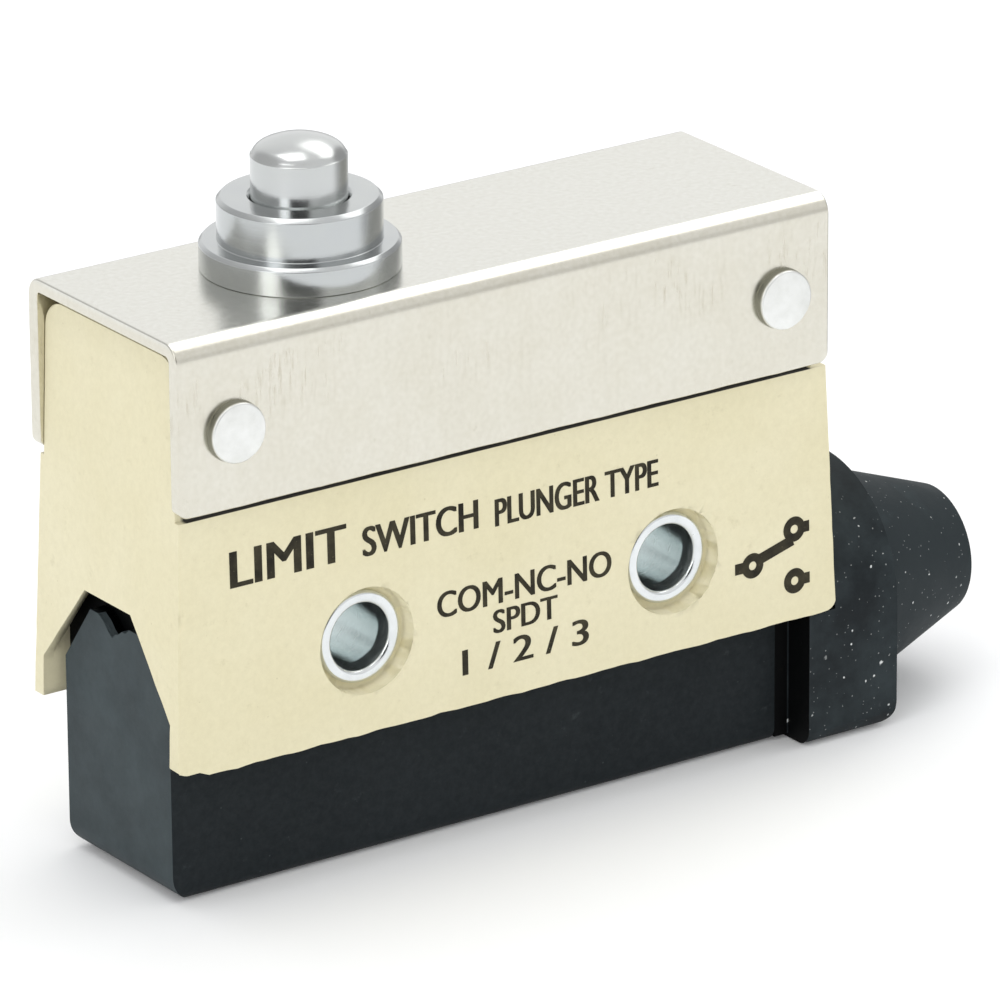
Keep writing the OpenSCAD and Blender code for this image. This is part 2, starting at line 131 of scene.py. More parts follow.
def smooth_noise(t: np.ndarray, seed: int, octaves: int = 4) -> np.ndarray:
    """Smooth waviness along t, from -1 to 1: a sum of sines of doubling frequency and random phase.

    Args:
        t: Positions, in units of the longest wave.
        seed: Seed of the phases.
        octaves: Number of sines.
    Returns:
        One value for each position.
    """
    rng = np.random.default_rng(seed)
    k = np.arange(octaves)
    frequency = 2.0**k * rng.uniform(0.8, 1.2, octaves)
    phase = rng.uniform(0, 2 * np.pi, octaves)
    waves = np.sin(2 * np.pi * np.multiply.outer(t, frequency) + phase) * 0.6**k
    return waves.sum(-1) / (0.6**k).sum()


def filleted(corners: Sequence[Corner], closed: bool, steps: int = 6) -> np.ndarray:
    """A polyline whose corners are arcs.

    Between unit directions a (in) and b (out), turning by the angle w, a corner of radius r is cut
    back by r*tan(w/2) along both sides, and the arc p(s) = centre + r*(n*cos(sw) + a*sin(sw))
    joins the cuts, where n points from the centre to the arc's start.

    Args:
        corners: (first coordinate, second coordinate, fillet radius) of each corner.
        closed: True if the last corner joins the first.
        steps: Segments in each arc.
    Returns:
        An n x 2 array of points.
    """
    c = np.array(corners, float)
    count, out = len(c), []
    for i, (x, y, r) in enumerate(c):
        p = np.array((x, y))
        if r <= 0 or (not closed and i in (0, count - 1)):
            out.append(p[None])
            continue
        a, b = p - c[i - 1, :2], c[(i + 1) % count, :2] - p
        a, b = a / np.linalg.norm(a), b / np.linalg.norm(b)
        cross = a[0] * b[1] - a[1] * b[0]
        w = math.atan2(abs(cross), float(a @ b))
        side = math.copysign(1.0, cross)
        n = np.array((a[1], -a[0])) * side
        start = p - a * r * math.tan(w / 2)
        s = np.linspace(0, w, steps + 1)[:, None]
        out.append(start - n * r + r * (n * np.cos(s) + a * np.sin(s)))
    return np.concatenate(out)


def grid_faces(rows: int, columns: int, wrap_rows: bool, wrap_columns: bool) -> np.ndarray:
    """Quads (i, j), (i, j+1), (i+1, j+1), (i+1, j) of a grid of points stored row by row.

    Args:
        rows: Number of rows.
        columns: Number of points in a row.
        wrap_rows: True if the last row joins the first.
        wrap_columns: True if the last column joins the first.
    Returns:
        An n x 4 array of point numbers.
    """
    i = np.arange(rows if wrap_rows else rows - 1)[:, None]
    j = np.arange(columns if wrap_columns else columns - 1)[None]
    i2, j2 = (i + 1) % rows, (j + 1) % columns
    quads = np.stack([i * columns + j, i * columns + j2, i2 * columns + j2, i2 * columns + j], -1)
    return quads.reshape(-1, 4)


def join_parts(parts: Sequence[tuple[np.ndarray, np.ndarray]]) -> tuple[np.ndarray, np.ndarray]:
    """Several (points, quads) pairs as one pair.

    Args:
        parts: The pairs.
    Returns:
        All points, and all quads with their numbers moved on.
    """
    starts = np.cumsum([0] + [len(p) for p, _ in parts[:-1]])
    points = np.concatenate([p for p, _ in parts])
    return points, np.concatenate([q + s for (_, q), s in zip(parts, starts)])


def turned(
    profile: np.ndarray,
    centre: Sequence[float],
    axis: Axis,
    segments: int = 128,
    closed: bool = True,
    shape: Callable[[np.ndarray, np.ndarray], np.ndarray] | None = None,
) -> tuple[np.ndarray, np.ndarray]:
    """A surface of revolution: p(t, a) = centre + h(t)*axis + r(t)*(u*cos a + v*sin a).

    Args:
        profile: n x 2 array of (radius, distance along the axis).
        centre: Point that the distances are measured from.
        axis: Direction of the axis.
        segments: Points round the axis.
        closed: True if the profile is a loop, False if it runs from pole to pole.
        shape: Optional change of the radius for each (angle, distance along the axis).
    Returns:
        Points and quads.
    """
    angle = np.linspace(0, 2 * np.pi, segments, endpoint=False)
    r, h = profile[:, :1], profile[:, 1:]
    radius = r * np.ones_like(angle)
    if shape is not None:
        radius = radius * shape(angle, h)
    k = axis.value
    points = np.empty((len(profile), segments, 3))
    points[..., (k + 1) % 3] = radius * np.cos(angle)
    points[..., (k + 2) % 3] = radius * np.sin(angle)
    points[..., k] = h
    return (points + centre).reshape(-1, 3), grid_faces(len(profile), segments, closed, True)


def prism(outline: np.ndarray, across: np.ndarray) -> tuple[np.ndarray, np.ndarray]:
    """The closed band between an n x 3 outline and the same outline moved by across."""
    points = np.concatenate([outline, outline + across])
    return points, grid_faces(2, len(outline), False, True)


def to_object(name: str, bm: bmesh.types.BMesh, sharp_deg: float) -> bpy.types.Object:
    """A linked object from a bmesh, smooth up to an angle.

    Args:
        name: Name of the object.
        bm: Its surface in metres, which is freed.
        sharp_deg: Edges above this angle are shaded sharp.
    Returns:
        The new object, at the origin.
    """
    mesh = bpy.data.meshes.new(name)
    bm.to_mesh(mesh)
    bm.free()
    mesh.shade_smooth()
    mesh.set_sharp_from_angle(angle=math.radians(sharp_deg))
    obj = bpy.data.objects.new(name, mesh)
    bpy.context.scene.collection.objects.link(obj)
    return obj


def surface(
    name: str,
    points: np.ndarray,
    quads: np.ndarray,
    sharp_deg: float = 35.0,
    more_faces: Sequence[Sequence[int]] = (),
) -> bpy.types.Object:
    """A closed piece from points in millimetres.

    Doubles at poles and seams are merged, and the faces are then turned outwards.

    Args:
        name: Name of the piece.
        points: n x 3 array.
        quads: m x 4 array of point numbers.
        sharp_deg: Edges above this angle are shaded sharp.
        more_faces: Faces with more or fewer than four corners.
    Returns:
        The new object, at the origin.
    """
    mesh = bpy.data.meshes.new(name)
    mesh.from_pydata(place(points), [], quads.tolist() + [list(f) for f in more_faces])
    bm = bmesh.new()
    bm.from_mesh(mesh)
    bpy.data.meshes.remove(mesh)
    bmesh.ops.remove_doubles(bm, verts=bm.verts, dist=POLE_MERGE)
    bmesh.ops.recalc_face_normals(bm, faces=bm.faces)
    return to_object(name, bm, sharp_deg)


def merged_copy(node: str) -> bmesh.types.BMesh:
    """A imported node's surface with its loose triangles joined and its flat regions made whole.

    Args:
        node: Name of the node, whose own mesh stays as it is.
    Returns:
        A new bmesh in metres.
    """
    bm = bmesh.new()
    bm.from_mesh(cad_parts[node].data)
    bmesh.ops.remove_doubles(bm, verts=bm.verts, dist=CAD_MERGE)
    flat = math.radians(FLAT_DEG)
    bmesh.ops.dissolve_limit(bm, angle_limit=flat, verts=bm.verts, edges=bm.edges)
    return bm


def round_edges(
    bm: bmesh.types.BMesh,
    width: float,
    pick: Callable[[Vector, Vector], bool],
    segments: int = 3,
    least_deg: float = 28.0,
) -> None:
    """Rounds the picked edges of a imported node's copy.

    Args:
        bm: The copy, in metres in the part's frame.
        width: Offset of the rounding, in millimetres.
        pick: Says yes or no from an edge's middle and direction, in millimetres from the holes.
        segments: Steps across the rounding.
        least_deg: Edges that turn by less than this are left.
    """
    chosen = []
    for edge in bm.edges:
        if len(edge.link_faces) != 2 or edge.calc_face_angle(0.0) < math.radians(least_deg):
            continue
        a, b = (v.co / MM - Vector((DATUM_X, 0, 0)) for v in edge.verts)
        if (b - a).length > 1e-4 and pick((a + b) / 2, (b - a).normalized()):
            chosen.append(edge)
    verts = list(dict.fromkeys(v for e in chosen for v in e.verts))
    bmesh.ops.bevel(
        bm, geom=chosen + verts, offset=width * MM, segments=segments, profile=0.5,
        affect="EDGES", clamp_overlap=True,
    )


def slice_along(bm: bmesh.types.BMesh, axis: Axis, positions: np.ndarray) -> None:
    """Cuts every face where it crosses planes across the axis, so that it has points to bend at.

    Args:
        bm: The copy, in metres.
        axis: Direction that the planes face.
        positions: Their places along it, in millimetres from the holes.
    """
    normal = Vector([float(k == axis.value) for k in range(3)])
    for position in positions:
        point = Vector(place(np.array(normal) * position))
        bmesh.ops.bisect_plane(
            bm, geom=bm.verts[:] + bm.edges[:] + bm.faces[:], dist=CUT_MERGE,
            plane_co=point, plane_no=normal,
        )


def move_points(bm: bmesh.types.BMesh, change: Callable[[np.ndarray], np.ndarray]) -> None:
    """Shifts the points of a copy.

    Args:
        bm: The copy, in metres.
        change: Gives each point's shift from its place, both n x 3 in millimetres.
    """
    verts = list(bm.verts)
    at = np.array([v.co for v in verts]) / MM - (DATUM_X, 0.0, 0.0)
    for vert, moved in zip(verts, place(at + change(at))):
        vert.co = moved


def cut_away(obj: bpy.types.Object, cutters: Sequence[bpy.types.Object]) -> bpy.types.Object:
    """Subtracts closed cutters from a piece and removes them.

    Args:
        obj: The piece.
        cutters: Closed pieces.
    Returns:
        The piece, with its new mesh.
    """
    for cutter in cutters:
        cut = obj.modifiers.new("cut", "BOOLEAN")
        cut.operation, cut.solver, cut.object = "DIFFERENCE", "EXACT", cutter
    bpy.context.view_layer.update()
    graph = bpy.context.evaluated_depsgraph_get()
    made = bpy.data.meshes.new_from_object(obj.evaluated_get(graph))
    obj.modifiers.clear()
    obj.data = made
    for cutter in cutters:
        bpy.data.objects.remove(cutter)
    return obj


def even_normals(obj: bpy.types.Object) -> None:
    """Keeps a piece's broad faces flat-shaded next to narrow roundings."""
    weighted = obj.modifiers.new("even_normals", "WEIGHTED_NORMAL")
    weighted.keep_sharp, weighted.weight = True, 60


# ---------------------------------------------------------------- finishes


def add_node(
    tree: bpy.types.NodeTree, kind: str, inputs: dict, **settings: object
) -> bpy.types.Node:
    """Puts a shader node into a tree.

    Args:
        tree: The tree.
        kind: The node's type after "ShaderNode".
        inputs: For each input, a number, a colour or another node's output.
        settings: The node's own properties.
    Returns:
        The node.
    """
    made = tree.nodes.new("ShaderNode" + kind)
    for key, value in settings.items():
        setattr(made, key, value)
    for key, value in inputs.items():
        if isinstance(value, bpy.types.NodeSocket):
            tree.links.new(value, made.inputs[key])
        else:
            made.inputs[key].default_value = value
    return made


class Nodes:
    """Short calls that build one finish's node tree."""

    def __init__(self, name: str) -> None:
        """Starts a material with a shader, its output and object coordinates.

        Args:
            name: Name of the material.
        """
        self.material = bpy.data.materials.new(name)
        self.material.use_nodes = True
        self.tree = self.material.node_tree
        self.tree.nodes.clear()
        self.shader = self.tree.nodes.new("ShaderNodeBsdfPrincipled")
        out = self.tree.nodes.new("ShaderNodeOutputMaterial")
        self.tree.links.new(self.shader.outputs[0], out.inputs[0])
        self.coords = self.tree.nodes.new("ShaderNodeTexCoord").outputs["Object"]

    def node(self, kind: str, inputs: dict, **settings: object) -> bpy.types.Node:
        """A node of this finish, as add_node makes it."""
        return add_node(self.tree, kind, inputs, **settings)

    def position(self) -> Sequence[bpy.types.NodeSocket]:
        """X, Y and Z of the object coordinates, in metres."""
        return self.node("SeparateXYZ", {0: self.coords}).outputs

    def set(self, **values: object) -> None:
        """Sets or links the shader's own sockets.

        Args:
            values: A number, a colour or an output for each socket, named with underscores.
        """
        for key, value in values.items():
            socket = self.shader.inputs[key.replace("_", " ")]
            if isinstance(value, bpy.types.NodeSocket):
                self.tree.links.new(value, socket)
            else:
                socket.default_value = (*value, 1.0) if isinstance(value, tuple) else value

    def stretched(
        self, scale: Sequence[float], centre: Sequence[float] = (0, 0, 0)
    ) -> bpy.types.NodeSocket:
        """Object coordinates measured from a centre in metres, times a scale for each axis."""
        shift = [-c * s for c, s in zip(centre, scale)]
        given = {0: self.coords, "Location": shift, "Scale": tuple(scale)}
        return self.node("Mapping", given).outputs[0]

    def noise(
        self, scale: float, detail: float = 2.0, rough: float = 0.5, vector: object = None
    ) -> bpy.types.NodeSocket:
        """Noise from 0 to 1.

        Args:
            scale: Features are about 1/scale metres wide.
            detail: Number of finer layers.
            rough: Share that each finer layer adds.
            vector: Coordinates other than the object's own.
        Returns:
            The noise's output.
        """
        given = {"Scale": scale, "Detail": detail, "Roughness": rough}
        return self.node("TexNoise", {"Vector": vector or self.coords, **given}).outputs[0]

    def cells(self, scale: float, vector: object = None) -> bpy.types.Node:
        """Voronoi cells, with the distance to their centres and a colour for each."""
        return self.node("TexVoronoi", {"Vector": vector or self.coords, "Scale": scale})

    def ramp(
        self, value: bpy.types.NodeSocket, stops: Sequence[Stop], ease: bool = False
    ) -> bpy.types.NodeSocket:
        """A value carried over from one stop to another.

        Args:
            value: The value.
            stops: (where, level) of both stops.
            ease: True for a smooth step, False for a straight line.
        Returns:
            The level.
        """
        (a, low), (b, high) = stops
        return self.node(
            "MapRange",
            {"Value": value, "From Min": a, "From Max": b, "To Min": low, "To Max": high},
            interpolation_type="SMOOTHSTEP" if ease else "LINEAR",
        ).outputs[0]

    def calc(self, kind: str, a: object, b: object = 0.0) -> bpy.types.NodeSocket:
        """A math node's result from two inputs."""
        return self.node("Math", {0: a, 1: b}, operation=kind).outputs[0]

    def times(self, a: object, b: object) -> bpy.types.NodeSocket:
        """The product of two values."""
        return self.calc("MULTIPLY", a, b)

    def reach(self, a: bpy.types.NodeSocket, b: bpy.types.NodeSocket) -> bpy.types.NodeSocket:
        """Distance of the point (a, b) from the origin: sqrt(a^2 + b^2)."""
        return self.calc("SQRT", self.calc("ADD", self.times(a, a), self.times(b, b)))

    def chosen(self, cells: Sequence[bpy.types.NodeSocket], odds: Stop) -> bpy.types.NodeSocket:
        """1 in cells whose random value is over the odds, 0 in the others."""
        value = self.node("SeparateColor", {0: cells["Color"]}).outputs[0]
        return self.ramp(value, ((odds[0], 0), (odds[1], 1)))

    def mix(self, share: object, a: object, b: object) -> bpy.types.NodeSocket:
        """Colour a where share is 0 and b where it is 1."""
        a, b = ((*c, 1.0) if isinstance(c, tuple) else c for c in (a, b))
        return self.node("Mix", {0: share, 6: a, 7: b}, data_type="RGBA").outputs[2]

    def facing_left(self) -> bpy.types.NodeSocket:
        """1 on faces that look along -X, 0 on the others."""
        normal = self.node("NewGeometry", {}).outputs["Normal"]
        across = self.node("SeparateXYZ", {0: normal}).outputs[0]
        return self.ramp(across, ((-0.45, 0), (-0.95, 1)), True)

    def bump(
        self, height: object, strength: float, depth_mm: float, below: object = None
    ) -> bpy.types.NodeSocket:
        """A bump of the surface.

        Args:
            height: Height from 0 to 1.
            strength: Share of the bump that is used.
            depth_mm: Its full height.
            below: Another bump that it lies over.
        Returns:
            The bumped normal.
        """
        given = {"Height": height, "Strength": strength, "Distance": depth_mm * MM}
        if below is not None:
            given["Normal"] = below
        return self.node("Bump", given).outputs[0]


@dataclass(frozen=True)
class SheetSteel:
    """Satin nickel-plated sheet: fine grain, faint drawn lines down the flanges, small marks."""

    name: str = "cover_steel"
    colour: str = "#dedbd0"
    dull: str = "#d8d4c6"
    top: str = "#e0e0da"
    stain: str = "#a79f84"
    roughness: float = 0.23
    streaks_fade_in: Stop = (0.032, 0.037)
    streaks_fade_out: Stop = (0.0385, 0.0394)
    top_fade_in: Stop = (0.0403, 0.0407)

    def build(self) -> bpy.types.Material:
        """The finish as a Blender material."""
        n = Nodes(self.name)
        stain = linear(self.stain)
        height = n.position()[2]
        lines = n.noise(1.0, 4, 0.6, n.stretched((1500, 1500, 110)))
        spots = n.noise(1.0, 3, 0.6, n.stretched((4200, 4200, 420)))
        # Streaks lie in patches on the flanges, just under the bend.
        low, full = self.streaks_fade_in
        high, gone = self.streaks_fade_out
        upper = n.times(n.ramp(height, ((low, 0), (full, 1)), True),
                        n.ramp(height, ((high, 1), (gone, 0)), True))
        patch = n.times(n.ramp(n.noise(120, 2), ((0.42, 0), (0.6, 1)), True), upper)
        streaks = n.times(n.ramp(spots, ((0.54, 0), (0.7, 1))), patch)
        cloud = n.ramp(n.noise(240, 3), ((0.3, 0), (0.75, 0.6)))
        tone = n.mix(cloud, linear(self.colour), linear(self.dull))
        low, full = self.top_fade_in
        tone = n.mix(n.ramp(height, ((low, 0), (full, 0.9))), tone, linear(self.top))
        marks = n.ramp(n.noise(700, 5, 0.75), ((0.66, 0), (0.76, 0.5)))
        tone = n.mix(n.calc("MAXIMUM", n.times(streaks, 0.35), marks), tone, stain)
        tone = n.mix(n.ramp(n.noise(2600, 2), ((0.3, 0), (0.75, 0.14))), tone, stain)
        drawn = n.ramp(lines, ((0.3, self.roughness - 0.03), (0.7, self.roughness + 0.04)))
        rough = n.calc("ADD", drawn, n.times(streaks, 0.1))
        normal = n.bump(n.noise(9000, 2), 0.3, 0.0009)
        normal = n.bump(lines, 0.25, 0.0012, normal)
        normal = n.bump(n.noise(160, 1), 0.4, 0.012, normal)
        n.set(Base_Color=tone, Metallic=1.0, Roughness=rough, Normal=normal)
        return n.material


@dataclass(frozen=True)
class TurnedSteel:
    """Bright plated steel with the tool's rings round an axis parallel to Z."""

    name: str
    colour: str
    centre: tuple[float, float]
    roughness: float = 0.19
    ring_depth_mm: float = 0.0025
    smear: str = "#c9ccc9"

    def build(self) -> bpy.types.Material:
        """The finish as a Blender material."""
        n = Nodes(self.name)
        at = n.node("SeparateXYZ", {0: n.stretched((1, 1, 1), (*self.centre, 0.0))}).outputs
        along = n.node("CombineXYZ", {0: n.reach(at[0], at[1]), 1: at[2]}).outputs[0]
        rings = n.noise(9000, 3, 0.6, along)
        broad = n.noise(1500, 2, 0.5, along)
        smears = n.noise(420, 4, 0.6)
        dings = n.ramp(n.noise(1700, 3, 0.6), ((0.64, 0), (0.72, 1)))
        share = n.ramp(smears, ((0.35, 0), (0.8, 0.5)))
        tone = n.mix(share, linear(self.colour), linear(self.smear))
        dull = n.ramp(smears, ((0.3, self.roughness - 0.03), (0.8, self.roughness + 0.08)))
        rough = n.calc("ADD", dull, n.ramp(rings, ((0.3, -0.02), (0.7, 0.03))))
        normal = n.bump(rings, 0.5, self.ring_depth_mm)
        normal = n.bump(broad, 0.3, self.ring_depth_mm * 2, normal)
        normal = n.bump(dings, 0.3, 0.006, normal)
        n.set(Base_Color=tone, Metallic=1.0, Roughness=rough, Normal=normal)
        return n.material


@dataclass(frozen=True)
class SoftMetal:
    """Pressed metal with a clouded surface and small dents, for rivets, eyelets and contacts.

    With a distance given, all that lies nearer to the middle plane than it, in millimetres, takes a
    second tone as painted light: shade on the sides of the rivets' heads next to the sheet, and a
    lighter tone in the eyelets' bores.
    """

    name: str
    colour: str
    shade: str
    roughness: float
    dent_mm: float = 0.01
    dent_scale: float = 1400.0
    scratch_mm: float = 0.003
    # Painted light near the middle plane: its reach, colour and fade, in millimetres
    painted_light_to: float | None = None
    painted_light: str = "#97978c"
    painted_light_fade: float = 0.18

    def build(self) -> bpy.types.Material:
        """The finish as a Blender material."""
        n = Nodes(self.name)
        cloud = n.ramp(n.noise(700, 4, 0.6), ((0.35, 0), (0.75, 0.8)))
        scratches = n.noise(1.0, 3, 0.7, n.stretched((900, 5200, 700)))
        tone = n.mix(cloud, linear(self.colour), linear(self.shade))
        rough = n.ramp(scratches, ((0.25, self.roughness - 0.07), (0.75, self.roughness + 0.1)))
        # Painted light near the middle plane: shade on the rivets' heads, a lighter tone in the
        # eyelets' bores.
        if self.painted_light_to is not None:
            away = n.calc("ABSOLUTE", n.position()[1])
            full = (self.painted_light_to - self.painted_light_fade) * MM
            near = n.ramp(away, ((full, 1), (self.painted_light_to * MM, 0)), True)
            tone = n.mix(near, tone, linear(self.painted_light))
        normal = n.bump(n.noise(self.dent_scale, 3, 0.55), 0.6, self.dent_mm)
        normal = n.bump(scratches, 0.3, self.scratch_mm, normal)
        n.set(Base_Color=tone, Metallic=1.0, Roughness=rough, Normal=normal)
        return n.material


@dataclass(frozen=True)
class MouldedPlastic:
    """Hard moulded plastic: broad tone changes, fine grain, shallow sinks and specks.

    A painted sheen with dust lies on faces that look along -X. Painted shade and grime fill the
    band between two given heights and two given ends, in millimetres: on the case, the gap under
    the cover's flange.
    """

    name: str
    colour: str
    shade: str
    speck: str
    roughness: float
    speck_share: float = 0.3
    grain_mm: float = 0.004
    sheen: float = 0.5
    # Colour of a painted sheen with dust on faces that look along -X
    end_sheen_and_dust: str | None = None
    mottle: float = 0.14
    # Band of painted shade and grime: its heights, its ends and its colour
    shade_and_grime_z: tuple[float, float] | None = None
    shade_and_grime_x: tuple[float, float] = (-27.0, 24.8)
    shade_and_grime: str = "#17140c"

    def gap(self, n: Nodes) -> bpy.types.NodeSocket:
        """Share of painted shade and grime: 1 inside the band, falling off at its edges.

        Args:
            n: The finish that it belongs to.
        Returns:
            The share.
        """
        low, high = (z * MM for z in self.shade_and_grime_z)
        left, right = (float(place((x, 0, 0))[0]) for x in self.shade_and_grime_x)
        at = n.position()
        share = n.times(n.ramp(at[2], ((low, 0), (low + 0.03 * MM, 1))),
                        n.ramp(at[2], ((high, 1), (high + 0.1 * MM, 0))))
        share = n.times(share, n.ramp(at[0], ((left, 0), (left + 0.3 * MM, 1))))
        return n.times(share, n.ramp(at[0], ((right - 0.3 * MM, 1), (right, 0))))

    def build(self) -> bpy.types.Material:
        """The finish as a Blender material."""
        n = Nodes(self.name)
        speck = linear(self.speck)
        broad = n.ramp(n.noise(85, 3, 0.55), ((0.3, 0), (0.72, 1)))
        tone = n.mix(broad, linear(self.colour), linear(self.shade))
        mottle = n.ramp(n.noise(1900, 4, 0.75), ((0.35, 0), (0.75, self.mottle)))
        tone = n.mix(mottle, tone, speck)
        soil = n.ramp(n.noise(620, 6, 0.7), ((0.62, 0), (0.78, self.speck_share)))
        tone = n.mix(soil, tone, speck)
        flecks = n.cells(1300).outputs
        dots = n.times(n.ramp(flecks["Distance"], ((0.05, 1), (0.11, 0))),
                       n.chosen(flecks, (0.86, 0.94)))
        tone = n.mix(n.times(dots, self.speck_share), tone, speck)
        # Painted shade and grime darken the gap under the cover's flange.
        if self.shade_and_grime_z is not None:
            tone = n.mix(self.gap(n), tone, linear(self.shade_and_grime))
        # Painted sheen with dust lightens faces that look along -X.
        if self.end_sheen_and_dust is not None:
            cover = n.ramp(n.noise(150, 6, 0.75), ((0.3, 0.5), (0.65, 1.0)))
            tone = n.mix(n.times(n.facing_left(), cover), tone, linear(self.end_sheen_and_dust))
        polish = n.noise(380, 4, 0.6)
        rough = n.ramp(polish, ((0.25, self.roughness - 0.06), (0.75, self.roughness + 0.08)))
        normal = n.bump(n.noise(5200, 3, 0.6), 0.5, self.grain_mm)
        normal = n.bump(n.noise(150, 2), 0.5, 0.05, normal)
        n.set(Base_Color=tone, Roughness=rough, Normal=normal, Specular_IOR_Level=self.sheen)
        return n.material


@dataclass(frozen=True)
class DustyRubber:
    """Matt rubber with a dusty bloom and scattered pale specks.

    Faces that look along -X are painted in shade. With shade_x, so is all that lies left of it,
    and what lies right of cone_x is lighter, mixed further towards the bloom colour, both in
    millimetres.
    """

    name: str = "boot_rubber"
    colour: str = "#1c2124"
    bloom: str = "#394144"
    dust: str = "#e9edec"
    roughness: float = 0.6
    # Colour of the painted shade on faces that look along -X
    shade: str = "#040506"
    shade_x: float | None = None
    cone_x: float = 32.2

    # Number of places per metre, size as a share of their distance, and odds of no speck
    SPECKS = ((620, 0.11, 0.86), (1500, 0.15, 0.80), (3000, 0.18, 0.7))

    def specks(self, n: Nodes, scale: float, size: float, odds: float) -> bpy.types.NodeSocket:
        """One layer of dust, its dots pulled out of round by noise.

        Args:
            n: The finish that it belongs to.
            scale: Places for a dot in a metre.
            size: Radius of a dot, as a share of the distance between places.
            odds: Share of the places that stay empty.
        Returns:
            1 on the dots, 0 between them.
        """
        pull = n.node("VectorMath", {0: n.noise(scale * 4, 2), 1: (0.3 / scale,) * 3},
                      operation="MULTIPLY").outputs[0]
        at = n.node("VectorMath", {0: n.coords, 1: pull}, operation="ADD").outputs[0]
        cells = n.cells(scale, at).outputs
        dots = n.ramp(cells["Distance"], ((size * 0.5, 1), (size, 0)))
        return n.times(dots, n.chosen(cells, (odds, odds + 0.04)))

    def build(self) -> bpy.types.Material:
        """The finish as a Blender material."""
        n = Nodes(self.name)
        cloud = n.noise(260, 5, 0.62)
        share = n.ramp(cloud, ((0.35, 0), (0.75, 0.8)))
        # Painted shade on faces that look along -X and, with shade_x, on the neck left of it.
        dark = n.facing_left()
        if self.shade_x is not None:
            along = n.position()[0]
            edge, cone = (float(place((x, 0, 0))[0]) for x in (self.shade_x, self.cone_x))
            more = n.ramp(along, ((cone, 0), (cone + 0.2 * MM, 0.45)))
            share = n.calc("MAXIMUM", share, more)
            left = n.ramp(along, ((edge - 0.04 * MM, 1), (edge, 0)))
            dark = n.calc("MAXIMUM", dark, left)
        tone = n.mix(share, linear(self.colour), linear(self.bloom))
        large, small, fine = (self.specks(n, *given) for given in self.SPECKS)
        dust = n.calc("MAXIMUM", n.calc("MAXIMUM", large, small), n.times(fine, 0.35))
        tone = n.mix(n.times(dust, 0.85), tone, linear(self.dust))
        tone = n.mix(dark, tone, linear(self.shade))
        rough = n.ramp(cloud, ((0.3, self.roughness - 0.05), (0.8, self.roughness + 0.15)))
        normal = n.bump(n.noise(3600, 4, 0.65), 0.6, 0.012)
        normal = n.bump(dust, 0.5, 0.02, normal)
        n.set(Base_Color=tone, Roughness=rough, Normal=normal, Specular_IOR_Level=0.12)
        return n.material


@dataclass(frozen=True)
class PrintInk:
    """Thin dark print with worn pinholes that show the plastic."""

    name: str = "legend_ink"
    colour: str = "#1d1a12"
    under: str = "#7d765c"

    def build(self) -> bpy.types.Material:
        """The finish as a Blender material."""
        n = Nodes(self.name)
        worn = n.ramp(n.noise(5200, 4, 0.7), ((0.63, 0), (0.72, 0.8)))
        cloud = n.ramp(n.noise(900, 3), ((0.3, 0), (0.8, 0.25)))
        tone = n.mix(n.calc("MAXIMUM", worn, cloud), linear(self.colour), linear(self.under))
        rough = n.ramp(cloud, ((0, 0.45), (0.25, 0.6)))
        normal = n.bump(n.noise(8000, 2), 0.4, 0.004)
        n.set(Base_Color=tone, Roughness=rough, Normal=normal, Specular_IOR_Level=0.15)
        return n.material


FINISHES = {
    "cover_steel": SheetSteel(),
    # Painted shade on the sides of the rivets' heads, next to the sheet.
    "bright_aluminium": SoftMetal(
        "bright_aluminium", "#eeefed", "#dcddd9", 0.38, dent_mm=0.016, painted_light_to=9.72
    ),
    # Painted light: the eyelets' bores take a lighter tone.
    "eyelet_metal": SoftMetal(
        "eyelet_metal", "#e6e9ea", "#d6dadc", 0.2, dent_mm=0.002, dent_scale=900.0,
        scratch_mm=0.0006, painted_light_to=7.75, painted_light="#e8eeee",
    ),
    # The case takes painted shade and grime in the gap under the cover's flange.
    "case_cream": MouldedPlastic(
        "case_cream", "#e8e1c1", "#e2dab6", "#a89c6e", 0.45, shade_and_grime_z=(28.07, 28.7)
    ),
    # The cap's faces that look along -X take a painted sheen with dust.
    "cover_black": MouldedPlastic(
        "cover_black", "#1e2326", "#1a1f22", "#6f7779", 0.5, speck_share=0.16, grain_mm=0.006,
        sheen=0.1, end_sheen_and_dust="#434c4f", mottle=0.05,
    ),
    "boot_rubber": DustyRubber(shade_x=24.3),
    "seal_rubber": DustyRubber("seal_rubber", "#0c0e0f", "#15181a", "#3d4042"),
    "legend_ink": PrintInk(),
    "brown_phenolic": MouldedPlastic("brown_phenolic", "#6b3f22", "#58321a", "#3b2413", 0.35),
    "brass": SoftMetal("brass", "#d9b65f", "#b38d3f", 0.24),
    "contact_silver": SoftMetal("contact_silver", "#eeeeea", "#cfcfca", 0.2),
    "spring_copper": SoftMetal("spring_copper", "#dd9c6c", "#b9774b", 0.22),
    "spring_steel": SoftMetal("spring_steel", "#c9cacb", "#a8abad", 0.2, dent_mm=0.003),
    "screw_steel": SoftMetal("screw_steel", "#d5d7d8", "#b8bbbd", 0.22, dent_mm=0.004),
}
_built: dict[str, bpy.types.Material] = {}


def finish(name: str) -> bpy.types.Material:
    """The finish's material, built on first use.

    Args:
        name: Its key in FINISHES.
    Returns:
        The material.
    """
    if name not in _built:
        _built[name] = FINISHES[name].build()
    return _built[name]


def dress(
    obj: bpy.types.Object,
    body: Body,
    material: bpy.types.Material,
    stands_for: Sequence[str] = (),
) -> bpy.types.Object:
    """Gives a piece its finish and its place in the part.

    Args:
        obj: The piece.
        body: Body that it rides on.
        material: Its finish.
        stands_for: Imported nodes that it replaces.
    Returns:
        The piece.
    """
    obj.data.materials.clear()
    obj.data.materials.append(material)
    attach(obj, body.value)
    if stands_for:
        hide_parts(*stands_for)
    LOG.info("%s: %d faces on %s", obj.name, len(obj.data.polygons), body.value)
    return obj


# ---------------------------------------------------------------- sub-assemblies


